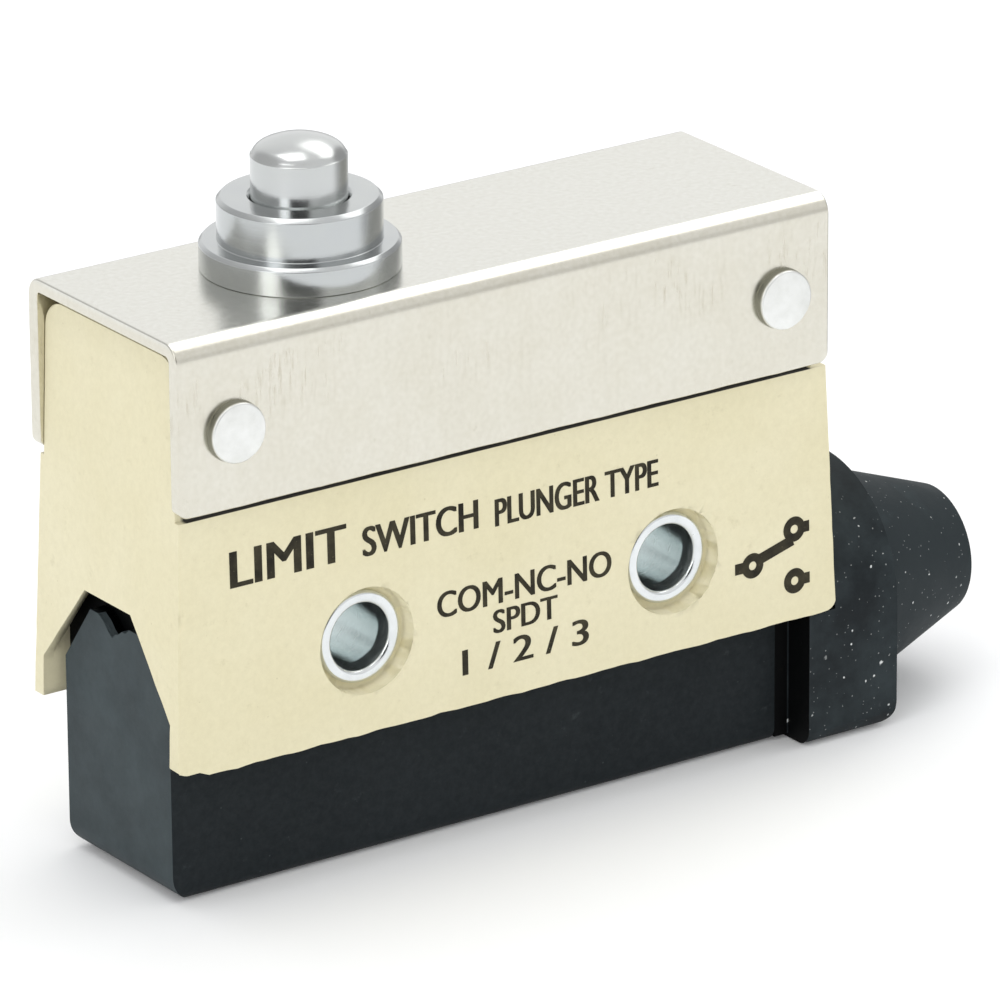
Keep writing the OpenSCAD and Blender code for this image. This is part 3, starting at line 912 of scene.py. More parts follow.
@dataclass
class FoldedCover:
    """The sheet-metal cover: a flat blank folded down along both sides."""

    length: float = 53.4
    width: float = 18.3
    flange: float = 12.18
    sheet: float = 1.0
    bend: float = 1.4
    corner: float = 0.8
    edge: float = 0.14
    top: float = 40.75
    hole_r: float = 4.75
    wave: float = 0.02
    foot_wave: float = 0.03

    def fold(self, s: np.ndarray, depth: np.ndarray) -> tuple[np.ndarray, np.ndarray]:
        """Y and Z of a point of the blank.

        The distance s from the blank's middle line runs over the flat half top, then round the
        bend as (R - depth)*(sin f, cos f) with f = (s - half top)/R, then straight down.

        Args:
            s: Distance across the blank, with its sign.
            depth: Depth below the outer skin.
        Returns:
            Y and Z of each point.
        """
        half = self.width / 2 - self.bend
        arc = self.bend * np.pi / 2
        d = np.abs(s)
        f = np.clip((d - half) / self.bend, 0, np.pi / 2)
        y = np.minimum(d, half) + (self.bend - depth) * np.sin(f)
        z = -self.bend + (self.bend - depth) * np.cos(f) - np.maximum(d - half - arc, 0)
        return np.sign(s) * y, self.top + z

    def section(self, reach: float, inset: float) -> tuple[np.ndarray, int]:
        """One closed loop round the sheet with its foot edges rounded.

        Args:
            reach: Half the blank's width at this place.
            inset: How far the loop lies inside the sheet's skin.
        Returns:
            The loop as (distance across, depth) and the number of points on its outer skin.
        """
        half = self.width / 2 - self.bend
        bend_end = half + self.bend * np.pi / 2
        side = np.concatenate([
            np.linspace(0, half, 8)[1:],
            np.linspace(half, bend_end, 13)[1:],
            np.linspace(bend_end, reach - self.edge, 9)[1:],
        ])
        across = np.concatenate([-side[::-1], [0], side])
        a = np.linspace(0, np.pi / 2, 5)[1:]
        r = self.edge - inset
        upper = np.stack([reach - self.edge + r * np.sin(a), self.edge - r * np.cos(a)], 1)
        lower = upper * (1, -1) + (0, self.sheet)
        outer = np.stack([across, np.full(len(across), inset)], 1)
        inner = np.stack([across[::-1], np.full(len(across), self.sheet - inset)], 1)
        loop = [outer, upper, lower[::-1], inner, lower * (-1, 1), upper[::-1] * (-1, 1)]
        return np.concatenate(loop), len(across)

    def build(self) -> bpy.types.Object:
        """The cover, with rounded edges and the hole for the collar.

        Loops round the sheet stand at distances e*(1 - sin a) from each end, inset by
        e*(1 - cos a), and the flange's corner lifts a loop's foot by c - sqrt(c^2 - gap^2).
        """
        centre = middle("metal_cover")[0]
        reach = self.width / 2 - self.bend + self.bend * np.pi / 2 + self.flange - self.bend
        # Loops crowd towards the ends, where the edges are rounded.
        a = np.linspace(np.pi / 2, 0, 5)
        more = self.edge + (self.corner - self.edge) * np.linspace(0, 1, 9)[1:] ** 1.5
        end = np.concatenate([self.edge * (1 - np.sin(a)), more])
        end_inset = np.concatenate([self.edge * (1 - np.cos(a)), 0 * more])
        inside = np.linspace(self.corner, self.length - self.corner, 60)[1:-1]
        from_end = np.concatenate([end, inside, self.length - end[::-1]])
        inset = np.concatenate([end_inset, 0 * inside, end_inset[::-1]])
        loops = []
        for along, depth in zip(from_end, inset):
            gap = self.corner - min(along, self.length - along, self.corner)
            lift = self.corner - math.sqrt(max(self.corner**2 - gap**2, 0.0))
            loop, skin = self.section(reach - lift, depth)
            y, z = self.fold(loop[:, 0], loop[:, 1])
            loops.append(np.stack([np.full(len(y), centre - self.length / 2 + along), y, z], 1))
        points = np.array(loops)
        rows, columns = points.shape[:2]
        # The flanges wave a little, and their feet more than the rest.
        low = np.clip((self.top - 2 - points[..., 2]) / 8, 0, 1)
        points[..., 1] += self.wave * low * smooth_noise(points[..., 0] / 31, 5)
        points[..., 2] += self.foot_wave * low**6 * smooth_noise(points[..., 0] / 7, 8)
        # Each end is closed from the outer skin's points to those below them.
        k = np.arange(skin - 1)
        below = 2 * skin + 7 - k
        ladder = np.stack([k, k + 1, below - 1, below], 1)
        last = (rows - 1) * columns
        quads = np.concatenate([grid_faces(rows, columns, False, True), ladder, ladder + last])
        cover = surface("cover", points.reshape(-1, 3), quads)
        depth = 3.0
        drill = [(0, -depth), (self.hole_r, -depth), (self.hole_r, depth), (0, depth)]
        at = (middle("plunger_bushing")[0], 0.0, self.top)
        hole = turned(np.array(drill), at, Axis.Z, 96, False)
        cut_away(cover, [surface("hole", *hole)])
        cover.data.set_sharp_from_angle(angle=math.radians(35))
        even_normals(cover)
        return dress(cover, Body.HOUSING, finish("cover_steel"), ["metal_cover"])


@dataclass
class Rivets:
    """Two rivets through the case, with low heads upset by hand."""

    shank_r: float = 1.6
    head_r: float = 2.15
    head_h: float = 0.7
    half_grip: float = 9.15
    z: float = 34.05
    pitch: float = 44.85
    out_of_round: float = 0.012

    def profile(self) -> np.ndarray:
        """Radius and distance along Y, from pole to pole."""
        under, face = self.half_grip, self.half_grip + self.head_h
        half = filleted([
            (self.shank_r, 0, 0), (self.shank_r, under, 0.0), (self.head_r - 0.02, under, 0.0),
            (self.head_r, under + 0.12, 0.08), (self.head_r - 0.06, face - 0.03, 0.16),
            (self.head_r * 0.55, face, 1.2), (0, face, 0),
        ], False, 7)
        return np.concatenate([(half * (1, -1))[::-1], half[1:]])

    def build(self) -> bpy.types.Object:
        """Both rivets as one piece, their heads slightly out of round."""
        centre = middle("cover_rivets")
        parts = []
        for side, seed in ((-1, 3), (1, 14)):
            def wobble(angle: np.ndarray, h: np.ndarray, seed: int = seed) -> np.ndarray:
                """Radius of the heads as a share of the usual: 1 + out_of_round*noise(angle)."""
                ring = smooth_noise(np.stack([np.cos(angle), np.sin(angle)]).sum(0) / 3, seed, 3)
                return 1 + self.out_of_round * ring * (np.abs(h) > self.half_grip - 0.1)

            at = (centre[0] + side * self.pitch / 2, centre[1], self.z)
            parts.append(turned(self.profile(), at, Axis.Y, 96, False, wobble))
        rivets = surface("rivets", *join_parts(parts))
        even_normals(rivets)
        metal = "bright_aluminium"
        return dress(rivets, Body.HOUSING, finish(metal), ["cover_rivets"])


@dataclass
class PlungerHead:
    """The turned collar and the domed plunger that slides in it."""

    plate_z: float = 39.75
    cover_z: float = 40.75
    flange_r: float = 6.85
    flange_h: float = 2.0
    barrel_r: float = 5.63
    barrel_z: float = 45.8
    bore_r: float = 3.36
    plunger_r: float = 3.3
    dome_z: float = 48.62
    dome_drop: float = 0.95
    tip_z: float = 50.0
    chamfer: float = 0.3
    spigot_r: float = 4.7
    staked_r: float = 5.0
    staked_h: float = 0.5
    groove: tuple[float, float, float] = (4.35, 43.4, 44.5)
    pocket: tuple[float, float] = (3.95, 41.75)
    shoulder: tuple[float, float] = (3.8, 0.95)
    spring_pocket: tuple[float, float] = (2.3, 46.5)

    def collar(self) -> bpy.types.Object:
        """The collar: flange, barrel, staked spigot and seal groove."""
        top, c, bore = self.cover_z + self.flange_h, self.chamfer, self.bore_r
        foot, under = self.plate_z - self.staked_h, self.cover_z + 0.01
        groove_r, groove_low, groove_high = self.groove
        pocket_r, pocket_z = self.pocket
        profile = filleted([
            (self.staked_r, foot, 0.1), (self.staked_r, self.plate_z, 0),
            (self.spigot_r, self.plate_z, 0), (self.spigot_r, under, 0),
            (self.flange_r, under, 0.06),
            (self.flange_r, top - c * 0.8, 0.08), (self.flange_r - c * 0.8, top, 0.08),
            (self.barrel_r, top, 0.05), (self.barrel_r, self.barrel_z - c, 0.08),
            (self.barrel_r - c, self.barrel_z, 0.08), (bore + 0.22, self.barrel_z, 0.05),
            (bore, self.barrel_z - 0.22, 0.05), (bore, groove_high, 0),
            (groove_r, groove_high, 0), (groove_r, groove_low, 0), (bore, groove_low, 0),
            (bore, pocket_z, 0), (pocket_r, pocket_z, 0), (pocket_r, foot, 0),
        ], True, 4)
        at = (*middle("plunger_bushing")[:2], 0.0)
        piece = surface("collar", *turned(profile, at, Axis.Z, 160), 30)
        even_normals(piece)
        return piece

    def plunger(self) -> bpy.types.Object:
        """The plunger: stop shoulder, spring pocket and a low dome with a rolled rim.

        The dome falls from its tip by drop*x^2 + edge*x^14, with x the share of the radius.
        """
        r = self.plunger_r
        x = np.linspace(1, 0, 33)
        edge = self.tip_z - self.dome_z - self.dome_drop - 0.04
        dome = np.stack([(r - 0.05) * x, self.tip_z - self.dome_drop * x**2 - edge * x**14], 1)
        inner_r, inner_z = self.spring_pocket
        shoulder_r, shoulder_z = self.shoulder[0], self.cover_z + self.shoulder[1]
        body = filleted([
            (0, inner_z, 0), (inner_r, inner_z, 0.2), (inner_r, self.cover_z, 0.05),
            (shoulder_r, self.cover_z, 0.1), (shoulder_r, shoulder_z, 0.15), (r, shoulder_z, 0),
            (r, self.dome_z, 0.04), (r - 0.05, self.dome_z + 0.04, 0),
        ], False, 4)
        at = (*middle("plunger")[:2], 0.0)
        points = turned(np.concatenate([body, dome[1:]]), at, Axis.Z, 128, False)
        piece = surface("plunger_head", *points, 42)
        even_normals(piece)
        return piece

    def build(self) -> None:
        """Both pieces with turned finishes."""
        axis = tuple(place(middle("plunger_bushing"))[:2])
        steel = TurnedSteel("plated_steel", "#bfc2c3", axis).build()
        bright = TurnedSteel("plunger_steel", "#c6c8c8", axis, ring_depth_mm=0.002).build()
        dress(self.collar(), Body.HOUSING, steel, ["plunger_bushing"])
        dress(self.plunger(), Body.PLUNGER, bright, ["plunger"])


@dataclass
class Case:
    """The moulded case, with rounded corners and a slightly ragged lower rim."""

    middle_x: float = -0.75
    foot_z: float = 10.0
    ledge_z: float = 28.1
    foot_half: tuple[float, float] = (27.35, 9.0)
    ledge_half: tuple[float, float] = (26.65, 8.55)
    upper_right: float = 24.95
    upper_half_w: float = 8.1
    corner: float = 0.45
    edge: float = 0.16
    blunt_x: float = -25.9
    bore_x: float = 12.7
    bore_z: float = 16.6
    bore_rim_r: float = 3.8

    def half_at(self, z: float | np.ndarray, k: int) -> float | np.ndarray:
        """Half the drafted length (k 0) or width (k 1) at a height."""
        t = (z - self.foot_z) / (self.ledge_z - self.foot_z)
        return self.foot_half[k] + (self.ledge_half[k] - self.foot_half[k]) * t

    def on_end(self, p: Vector) -> bool:
        """True on the lower body's end faces, the left one up to the case's top."""
        off = p.x - self.middle_x
        inside = p.z < self.ledge_z + 0.05 or off < 0
        return inside and abs(abs(off) - self.half_at(p.z, 0)) < 0.06

    def on_side(self, p: Vector) -> bool:
        """True on the lower body's front and back faces."""
        return p.z < self.ledge_z + 0.05 and abs(abs(p.y) - self.half_at(p.z, 1)) < 0.05

    def is_corner(self, p: Vector, d: Vector) -> bool:
        """The upright corners of the lower body, down round the foot's, and of the left top."""
        if p.z > self.ledge_z + 0.1 and self.on_end(p) and abs(p.y) > self.upper_half_w - 0.05:
            return True
        outside = abs(p.x - self.middle_x) > self.half_at(p.z, 0) - 0.85
        return self.on_side(p) and outside and p.z > self.foot_z + 0.05 and abs(d.y) < 0.5

    def is_rim(self, p: Vector, _: Vector) -> bool:
        """Every other outside edge that is moulded nearly sharp."""
        upper = p.z > self.ledge_z + 0.05 and abs(p.x - self.upper_right) < 0.03
        return self.on_side(p) or self.on_end(p) or upper

    def ragged(self, p: np.ndarray) -> np.ndarray:
        """Small moulding flaws.

        The lower rim moves by up to 0.075 mm as noise along the perimeter, its front left corner
        is blunt, the end faces move by 0.03 mm, and the lower right of one counterbore is
        chipped.

        Args:
            p: n x 3 points.
        Returns:
            n x 3 shifts.
        """
        shift = np.zeros_like(p)
        outside = (np.abs(p[:, 1]) > 8.2) | (np.abs(p[:, 0] - self.middle_x) > 26.6)
        low = np.clip((self.foot_z + 0.9 - p[:, 2]) / 0.7, 0, 1) * outside
        along = p[:, 0] + 0.7 * p[:, 1]
        shift[:, 2] = low * 0.075 * smooth_noise(along / 5.3, 21, 5)
        blunt = np.clip((self.blunt_x - p[:, 0]) / 0.3, 0, 1) * (p[:, 1] < 0)
        shift[:, 2] += low * 0.33 * blunt
        side = np.sign(p[:, 1]) * (np.abs(p[:, 1]) > 8.2)
        shift[:, 1] = low * 0.03 * side * smooth_noise(along / 3.1, 4, 4)
        near = (np.abs(p[:, 0] - self.middle_x) > 26.9) & (p[:, 2] < self.ledge_z)
        shift[:, 0] = near * 0.03 * smooth_noise(p[:, 2] / 3.7, 9, 4)
        away = p[:, [0, 2]] - (self.bore_x, self.bore_z)
        r = np.hypot(*away.T)
        angle = np.arctan2(away[:, 1], away[:, 0])
        chip = np.exp(-((angle + 0.75) / 0.5) ** 2) * (p[:, 1] < -8.1) * (r < self.bore_rim_r + 0.3)
        chip *= 0.22 * np.clip(smooth_noise(angle / 0.55, 30, 3) + 0.25, 0, 1)
        shift[:, 0] += chip * np.cos(angle)
        shift[:, 2] += chip * np.sin(angle)
        return shift

    def build(self) -> bpy.types.Object:
        """The case, from its packed surface with edges rounded and flaws added."""
        bm = merged_copy("case")
        round_edges(bm, self.corner, self.is_corner, 4)
        round_edges(bm, self.edge, self.is_rim, 3, 32.0)
        slice_along(bm, Axis.X, np.arange(-27.9, 26.5, 0.75))
        slice_along(bm, Axis.Z, np.arange(10.6, 27.8, 0.9))
        move_points(bm, self.ragged)
        case = to_object("case_shell", bm, 40)
        even_normals(case)
        return dress(case, Body.HOUSING, finish("case_cream"), ["case"])


@dataclass
class Eyelets:
    """Tubular eyelets whose ends are rolled over in the counterbores."""

    bore_r: float = 2.15
    tube_r: float = 2.5
    lip_r: float = 3.25
    lip_t: float = 0.5
    face: float = 8.08

    def profile(self) -> np.ndarray:
        """Loop of radius and distance along Y."""
        half = [
            (self.bore_r, self.face - 1.1, 0.9), (self.bore_r + 0.3, self.face, 0.32),
            (self.lip_r, self.face, 0.26), (self.lip_r, self.face - self.lip_t, 0.12),
            (self.tube_r, self.face - self.lip_t, 0.0),
        ]
        return filleted(half + [(r, -h, f) for r, h, f in half[::-1]], True, 8)

    def build(self) -> None:
        """One piece for each eyelet, lips slightly out of round."""
        for side, seed in (("left", 6), ("right", 12)):
            def wobble(angle: np.ndarray, h: np.ndarray, seed: int = seed) -> np.ndarray:
                """Out-of-roundness of the lips: 1 + 0.008*noise(angle)."""
                return 1 + 0.008 * np.cos(2 * angle + seed) * (np.abs(h) > self.face - 0.6)
            node = f"mounting_eyelet_{side}"
            lathe = turned(self.profile(), middle(node), Axis.Y, 112, True, wobble)
            eyelet = surface(f"eyelet_{side}", *lathe)
            even_normals(eyelet)
            dress(eyelet, Body.HOUSING, finish("eyelet_metal"), [node])


@dataclass
class TerminalCover:
    """The black cap under the case, its tongue torn at the top."""

    left: float = -27.1
    half_w: float = 6.5
    upright_r: float = 0.5
    edge: float = 0.14
    tear: tuple[tuple[float, float], ...] = (
        (2.5, 18.9), (2.15, 18.35), (1.5, 18.0), (0.95, 17.45), (0.5, 17.14), (0.1, 17.5),
        (-0.3, 17.62), (-0.75, 17.98), (-1.15, 17.95), (-1.6, 18.3), (-1.9, 18.9),
    )

    def is_upright(self, p: Vector, d: Vector) -> bool:
        """The upright corners beside the tongue."""
        return abs(d.z) > 0.9 and abs(p.x - self.left) < 0.05 and abs(abs(p.y) - self.half_w) < 0.05

    def is_tongue(self, p: Vector, _: Vector) -> bool:
        """The tongue's outline and the cap's outside upper rims."""
        return abs(p.x - self.left) < 0.55 and p.z > 13.0

    def build(self) -> bpy.types.Object:
        """The cap, from its packed surface."""
        bm = merged_copy("terminal_cover")
        round_edges(bm, self.upright_r, self.is_upright, 4)
        round_edges(bm, self.edge, self.is_tongue, 2, 32.0)
        cap = to_object("terminal_cap", bm, 40)
        outline = np.array([(self.left - 1, y, z) for y, z in self.tear])
        points, quads = prism(outline, np.array((3.0, 0, 0)))
        count = len(self.tear)
        ends = [list(range(count)), list(range(count, 2 * count))]
        cut_away(cap, [surface("tear", points, quads, more_faces=ends)])
        even_normals(cap)
        return dress(cap, Body.HOUSING, finish("cover_black"), ["terminal_cover"])


@dataclass
class CableBoot:
    """The rubber block beside the case and its tapering cable outlet."""

    left: float = 24.4
    upper_left: float = 26.66
    right: float = 32.1
    step_z: float = 9.95
    axis_z: float = 8.4
    end_x: float = 41.9
    cone_base_r: float = 8.2
    neck_half_w: float = 6.6
    edge: float = 0.3

    def is_outline(self, p: Vector, _: Vector) -> bool:
        """Outside edges of the block, its step and the free end of the cone."""
        r = math.hypot(p.y, p.z - self.axis_z)
        if abs(p.x - self.end_x) < 0.05:
            return True
        if abs(p.x - self.right) < 0.05:
            return r > self.cone_base_r + 0.05
        front = abs(p.x - self.left) < 0.05 and (abs(p.y) > self.neck_half_w or p.z < 0.25)
        step = abs(p.z - self.step_z) < 0.03 and abs(p.y) > 5.0 and p.x < self.upper_left - 0.2
        return front or step or abs(p.x - self.upper_left) < 0.05 and r > 5.0 and p.z > 10.2

    def build(self) -> bpy.types.Object:
        """The boot, from its packed surface."""
        bm = merged_copy("cable_boot")
        round_edges(bm, self.edge, self.is_outline, 4, 35.0)
        boot = to_object("boot", bm, 40)
        even_normals(boot)
        return dress(boot, Body.HOUSING, finish("boot_rubber"), ["cable_boot"])


@dataclass
class Coil:
    """A round-wire compression spring round the plunger's axis."""

    name: str
    node: str
    mean_r: float
    wire_r: float
    turns: int
    dead: float = 0.5

    def build(self, body: Body, foot: bool, keep: float) -> bpy.types.Object:
        """The spring, wound round the plunger's axis.

        p(t, b) = axis + (R + w*cos b)*(cos 2pi*n*t, sin 2pi*n*t) + z(t) + w*sin b, where z climbs
        only between the dead turns at both ends.

        Args:
            body: Body that the spring rides on.
            foot: Not used. True would mean the lower end stays still, False the upper end.
            keep: Not used. It would give the share of its height left at full travel.
        Returns:
            The spring.
        """
        low, high = box_mm(self.node)
        centre = middle(self.node)
        t = np.linspace(0, 1, self.turns * 40 + 1)
        climb = np.clip((t * self.turns - self.dead) / (self.turns - 2 * self.dead), 0, 1)
        z = low[2] + self.wire_r + (high[2] - low[2] - 2 * self.wire_r) * climb
        b = np.linspace(0, 2 * np.pi, 14, endpoint=False)
        wire = np.full((len(t), 1), self.wire_r)
        rows = [0, *range(len(t)), len(t) - 1]
        wire = wire[rows]
        wire[[0, -1]] = 0.0
        a = (2 * np.pi * self.turns * t)[rows, None]
        r = self.mean_r + wire * np.cos(b)
        points = np.stack([
            centre[0] + r * np.cos(a), centre[1] + r * np.sin(a), z[rows, None] + wire * np.sin(b)
        ], -1).reshape(-1, 3)
        spring = surface(self.name, points, grid_faces(len(rows), len(b), False, True), 60)
        dress(spring, body, finish("spring_steel"), [self.node])
        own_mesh(spring)
        return spring


Line = tuple[str, float, float, float, float, float]


@dataclass
class Legend:
    """Generic print on the front face: the kind of switch, its terminals and a contact symbol."""

    case: Case
    lift: float = 0.02
    depth: float = 0.03

    def on_face(self, across: np.ndarray, up: np.ndarray, out: np.ndarray) -> np.ndarray:
        """Points on the drafted front face: y = -(half width at z) - out."""
        return np.stack([across, -self.case.half_at(up, 1) - out, up], -1)

    def words(self, name: str, lines: Sequence[Line]) -> None:
        """Lines of lettering as one piece.

        Args:
            name: Name of the piece.
            lines: (text, left, right, foot, height, boldness) of each line, in millimetres. A bold
                line is printed at both sides of its place, each copy a hair above the last.
        """
        bm = bmesh.new()
        copies = [(*line, side) for line in lines for side in (-0.5, 0.0, 0.5)]
        for text, left, right, foot, height, bold, side in copies:
            curve = bpy.data.curves.new(name, "FONT")
            curve.body, curve.extrude, curve.resolution_u = text, 0.5, 6
            letters = bpy.data.objects.new(name, curve)
            bpy.context.scene.collection.objects.link(letters)
            bpy.context.view_layer.update()
            graph = bpy.context.evaluated_depsgraph_get()
            mesh = bpy.data.meshes.new_from_object(letters.evaluated_get(graph))
            co = np.empty(len(mesh.vertices) * 3)
            mesh.vertices.foreach_get("co", co)
            co = co.reshape(-1, 3)
            low, high = co.min(0), co.max(0)
            u, v, w = ((co - low) / (high - low)).T
            points = self.on_face(left + side * bold + (right - left) * u, foot + height * v,
                                  self.lift * (1 + 0.1 * side) - self.depth * (1 - w))
            mesh.vertices.foreach_set("co", place(points).ravel())
            bm.from_mesh(mesh)
            bpy.data.objects.remove(letters)
            bpy.data.curves.remove(curve)
            bpy.data.meshes.remove(mesh)
        dress(to_object(name, bm, 30), Body.HOUSING, finish("legend_ink"))

    def stroke(
        self, path: np.ndarray, width: float, rise: float = 1.0
    ) -> tuple[np.ndarray, np.ndarray]:
        """A flat line of print along a path: its edges are path +- width/2 * normal.

        Args:
            path: n x 2 points (across, up); a path that ends where it starts is a ring.
            width: Width of the line.
            rise: Height of its face over the case, as a share of the usual.
        Returns:
            Points and quads of a closed strip with the print's thickness.
        """
        along = np.gradient(path, axis=0)
        ring = np.allclose(path[0], path[-1])
        if ring:
            along[0] = along[-1] = path[1] - path[-2]
        along /= np.linalg.norm(along, axis=1)[:, None]
        normal = along[:, ::-1] * (-1, 1) * width / 2
        left, right = path + normal, path - normal
        top, base = self.lift * rise, self.lift - self.depth
        tube = [self.on_face(*e.T, np.full(len(e), o)) for e, o in
                ((left, top), (right, top), (right, base), (left, base))]
        points = np.stack(tube, 1).reshape(-1, 3)
        quads = grid_faces(len(path), 4, False, True)
        if not ring:
            last = 4 * (len(path) - 1)
            quads = np.concatenate([quads, [[0, 1, 2, 3], [last, last + 1, last + 2, last + 3]]])
        return points, quads

    def symbol(self, left: float, foot: float, size: float, height: float, width: float) -> None:
        """A changeover contact: a pivot, a lever and two fixed contacts.

        Args:
            left: Left end of its leads.
            foot: Lowest point.
            size: Length, less the right leads' ends.
            height: Height.
            width: Width of its lines.
        """
        ring_r = 0.62
        a = np.linspace(0, 2 * np.pi, 33)
        ring = np.stack([np.cos(a), np.sin(a)], 1) * ring_r
        mid, right, top = foot + height / 2, left + size, foot + height
        upper, lower = (right - 1.1, top - ring_r), (right - 1.1, foot + ring_r)
        pivot = (left + 1.5, mid)
        lines = [
            [(left, mid), (pivot[0] - ring_r, mid)],
            [(pivot[0] + ring_r * 0.8, mid + ring_r * 0.5),
             (upper[0] - ring_r * 0.2, top - 2 * ring_r - 0.15)],
            [(upper[0] + ring_r, upper[1]), (right + 0.2, upper[1])],
            [(lower[0] + ring_r, lower[1]), (right + 0.2, lower[1])],
        ]
        strokes = [self.stroke(np.array(line), width) for line in lines]
        strokes += [self.stroke(ring + p, width * 0.75, 1.3) for p in (pivot, upper, lower)]
        piece = surface("legend_symbol", *join_parts(strokes), 30)
        dress(piece, Body.HOUSING, finish("legend_ink"))

    def build(self) -> None:
        """The title, the terminal lines and the symbol."""
        self.words("legend_title", [
            ("LIMIT", -23.4, -14.25, 22.75, 2.55, 0.22),
            ("SWITCH", -12.8, -3.5, 22.6, 2.1, 0.16),
            ("PLUNGER TYPE", -2.0, 11.5, 22.38, 1.98, 0.14),
        ])
        self.words("legend_terminals", [
            ("COM-NC-NO", -6.9, 7.45, 16.82, 1.86, 0.12),
            ("SPDT", -2.35, 2.9, 14.72, 1.68, 0.12),
            ("1 / 2 / 3", -4.95, 5.45, 12.28, 1.85, 0.12),
        ])
        self.symbol(17.95, 12.25, 6.2, 5.05, 0.8)


class SealedParts:
    """The pieces inside the switch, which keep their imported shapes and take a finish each."""

    FINISH = {
        "cover_gasket": "seal_rubber", "plunger_seal": "seal_rubber",
        "terminal_seal": "seal_rubber", "push_pin": "brown_phenolic",
        "inner_lid": "brown_phenolic", "com_terminal": "brass", "nc_terminal": "brass",
        "no_terminal": "brass", "nc_contact": "contact_silver",
        "no_contact": "contact_silver", "moving_contact": "contact_silver",
        "moving_blade": "spring_copper", "tension_leaf": "spring_copper",
        "terminal_screws": "screw_steel", "clamp_washers": "brass",
    }

    def build(self) -> None:
        """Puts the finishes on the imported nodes."""
        for node, name in self.FINISH.items():
            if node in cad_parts:
                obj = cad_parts[node]
                obj.data.materials.clear()
                obj.data.materials.append(finish(name))
                LOG.info("%s: %s", node, name)


# ---------------------------------------------------------------- studio


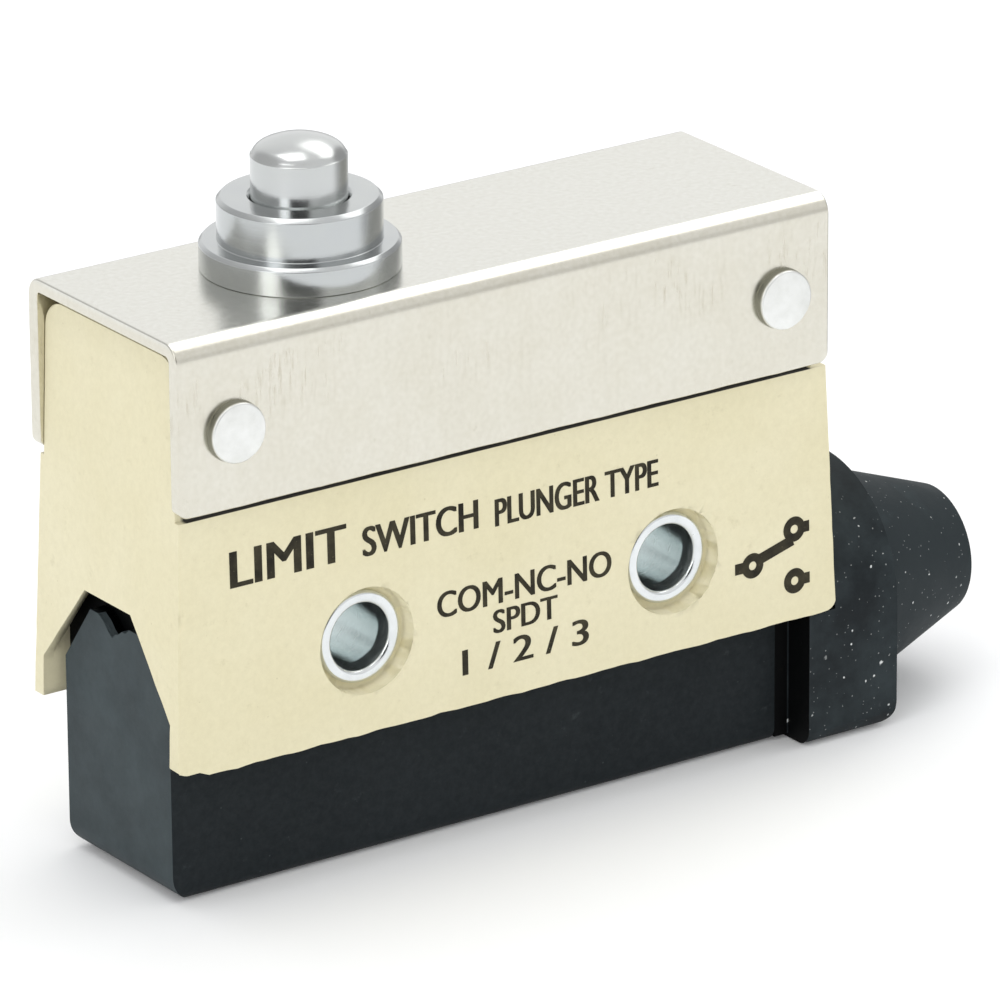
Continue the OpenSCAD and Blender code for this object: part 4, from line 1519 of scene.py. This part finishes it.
@dataclass
class Studio:
    """Pale floor, soft light and the camera."""

    azimuth: float = -34.6766
    elevation: float = 20.6596
    roll: float = -0.4136
    distance: float = 0.63137
    aim: tuple[float, float, float] = (-0.0027039, -0.0002489, 0.0203772)
    lens: float = 329.956
    card_distance: float = 0.75
    sky_level: float = 1.12
    backdrop_level: float = 1.25
    floor_z: float = -0.00006
    dim_zones: tuple[tuple[float, float, float, float, float], ...] = (
        (92.0, 12.0, 34.0, 20.0, 0.5), (-125.0, 12.0, 52.0, 34.0, 0.68),
        (145.0, 22.0, 42.0, 18.0, 1.18), (36.0, 6.0, 15.0, 5.0, 0.8),
    )

    def camera(self) -> None:
        """A long-lens camera round the aim point, rolled a little about its line of sight."""
        back = towards(self.azimuth, self.elevation)
        data = bpy.data.cameras.new("camera")
        data.lens, data.sensor_width = self.lens, 36.0
        data.clip_start, data.clip_end = 0.05, 20.0
        camera = bpy.data.objects.new("camera", data)
        camera.location = Vector(self.aim) + back * self.distance
        turn = (-back).to_track_quat("-Z", "Y").to_matrix()
        right, up = Vector(turn.col[0]), Vector(turn.col[1])
        c, s = math.cos(math.radians(self.roll)), math.sin(math.radians(self.roll))
        turn.col[0], turn.col[1] = right * c + up * s, up * c - right * s
        camera.rotation_euler = turn.to_euler()
        bpy.context.scene.collection.objects.link(camera)
        bpy.context.scene.camera = camera

    def panel(
        self,
        name: str,
        at: Sequence[float],
        size: tuple[float, float],
        radiance: float,
        tint: Colour,
    ) -> None:
        """A soft rectangular light that faces the part, of power pi * area * radiance.

        Args:
            name: Name of the light.
            at: Its place, in metres.
            size: Width and height, in metres.
            radiance: Brightness of its face.
            tint: Its colour.
        """
        data = bpy.data.lights.new(name, "AREA")
        data.shape, data.size, data.size_y = "RECTANGLE", *size
        data.energy = math.pi * size[0] * size[1] * radiance
        data.color = tint
        lamp = bpy.data.objects.new(name, data)
        lamp.location = at
        line = Vector((0, 0, 0.02)) - Vector(at)
        lamp.rotation_euler = line.to_track_quat("-Z", "Y").to_euler()
        bpy.context.scene.collection.objects.link(lamp)

    def card(
        self, name: str, azimuth: float, elevation: float, size: tuple[float, float], level: float
    ) -> None:
        """A plain board that is seen only in reflections and faces the part.

        Args:
            name: Name of the board.
            azimuth: Its direction in degrees, as in towards().
            elevation: Its height in degrees.
            size: Width and height, in metres.
            level: Brightness of its face.
        """
        back = towards(azimuth, elevation)
        a = math.radians(azimuth)
        level_line = Vector((math.cos(a), math.sin(a), 0))
        across, up = level_line * (size[0] / 2), back.cross(level_line) * (size[1] / 2)
        centre = back * self.card_distance + Vector((0, 0, 0.03))
        points = [centre - across - up, centre + across - up, centre + across + up,
                  centre - across + up]
        mesh = bpy.data.meshes.new(name)
        mesh.from_pydata([tuple(p) for p in points], [], [(0, 1, 2, 3)])
        board = bpy.data.objects.new(name, mesh)
        bpy.context.scene.collection.objects.link(board)
        paint = Nodes(name)
        paint.set(Base_Color=(0.0, 0.0, 0.0), Roughness=1.0, Specular_IOR_Level=0.0,
                  Emission_Color=(level, level, level), Emission_Strength=1.0)
        mesh.materials.append(paint.material)
        board.visible_camera = board.visible_diffuse = board.visible_shadow = False

    def floor(self) -> None:
        """A wide pale floor just under the part.

        Reflections see it darker at the back right, and the camera sees it glow far from the
        part, where it meets the backdrop.
        """
        mesh = bpy.data.meshes.new("floor")
        r = np.array([0, 0.2, 0.5, 1.2, 3.0])
        rings = np.stack([r, np.full(len(r), self.floor_z)], 1)
        points, quads = turned(rings, (0, 0, 0), Axis.Z, 96, False)
        mesh.from_pydata(points, [], quads.tolist())
        mesh.validate()
        floor = bpy.data.objects.new("floor", mesh)
        bpy.context.scene.collection.objects.link(floor)
        paint = Nodes("floor")
        at = paint.position()
        ray = paint.node("LightPath", {}).outputs
        right = paint.times(paint.ramp(at[0], ((0.07, 0), (0.1, 1)), True),
                            paint.ramp(at[1], ((-0.09, 0), (-0.06, 1)), True))
        share = paint.times(paint.times(right, ray["Is Glossy Ray"]), 0.55)
        tone = paint.mix(share, (0.9, 0.91, 0.92), (0.0, 0.0, 0.0))
        glow = paint.times(paint.calc("SUBTRACT", 1.0, share), 0.07)
        far = paint.ramp(paint.reach(at[0], at[1]), ((0.12, 0), (0.4, 1.2)), True)
        glow = paint.calc("ADD", glow, paint.times(far, ray["Is Camera Ray"]))
        paint.set(Base_Color=tone, Roughness=0.6, Specular_IOR_Level=0.15,
                  Emission_Color=(1.0, 1.0, 1.0), Emission_Strength=glow)
        mesh.materials.append(paint.material)

    def sky(self) -> None:
        """Bright surroundings with zones that are dimmer or brighter.

        dim_zones holds (azimuth, elevation, outer radius, inner radius, factor) of each, in
        degrees: beyond the outer radius the light is as it is, and inside the inner one it is
        multiplied by the factor.
        """
        world = bpy.data.worlds.new("surroundings")
        bpy.context.scene.world = world
        world.use_nodes = True
        tree = world.node_tree
        tree.nodes.clear()
        add = partial(add_node, tree)
        level: object = self.sky_level
        direction = add("TexCoord", {}).outputs["Generated"]
        for azimuth, elevation, outer, inner, cut in self.dim_zones:
            ends = {0: direction, 1: towards(azimuth, elevation)}
            near = add("VectorMath", ends, operation="DOT_PRODUCT").outputs["Value"]
            stops = {"Value": near, "From Min": math.cos(math.radians(outer)),
                     "From Max": math.cos(math.radians(inner)), "To Min": 1.0, "To Max": cut}
            zone = add("MapRange", stops, interpolation_type="SMOOTHSTEP").outputs[0]
            level = add("Math", {0: level, 1: zone}, operation="MULTIPLY").outputs[0]
        seen = add("LightPath", {}).outputs["Is Camera Ray"]
        given = {"Factor": seen, "A": level, "B": self.backdrop_level}
        light = add("Background", {"Strength": add("Mix", given).outputs["Result"]})
        tree.links.new(light.outputs[0], add("OutputWorld", {}).inputs[0])

    def build(self) -> None:
        """Camera, floor, surroundings and lamps."""
        self.camera()
        self.floor()
        self.sky()
        self.panel("top_light", (-0.12, 0.05, 0.8), (0.55, 0.45), 1.7, (1.0, 0.995, 0.98))
        self.panel("right_light", (0.45, 0.08, 0.62), (0.75, 0.34), 1.4, (1.0, 0.995, 0.98))
        self.panel("left_light", (-0.75, -0.35, 0.42), (0.45, 0.55), 1.65, (1.0, 1.0, 1.0))
        self.card("camera_body", self.azimuth, self.elevation, (0.6, 0.42), 0.02)
        bpy.context.scene.view_settings.view_transform = "Standard"


def main() -> None:
    """Builds the model in order and reports each piece."""
    logging.basicConfig(level=logging.INFO, format="%(message)s")
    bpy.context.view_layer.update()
    case = Case()
    FoldedCover().build()
    Rivets().build()
    PlungerHead().build()
    case.build()
    Eyelets().build()
    TerminalCover().build()
    CableBoot().build()
    Coil("return_coil", "return_spring", 2.9, 0.24, 5).build(Body.HOUSING, True, 0.431)
    Coil("overtravel_coil", "overtravel_spring", 1.8, 0.2, 6).build(Body.PLUNGER, False, 0.565)
    Legend(case).build()
    SealedParts().build()
    Studio().build()


if __name__ == "__main__":
    main()
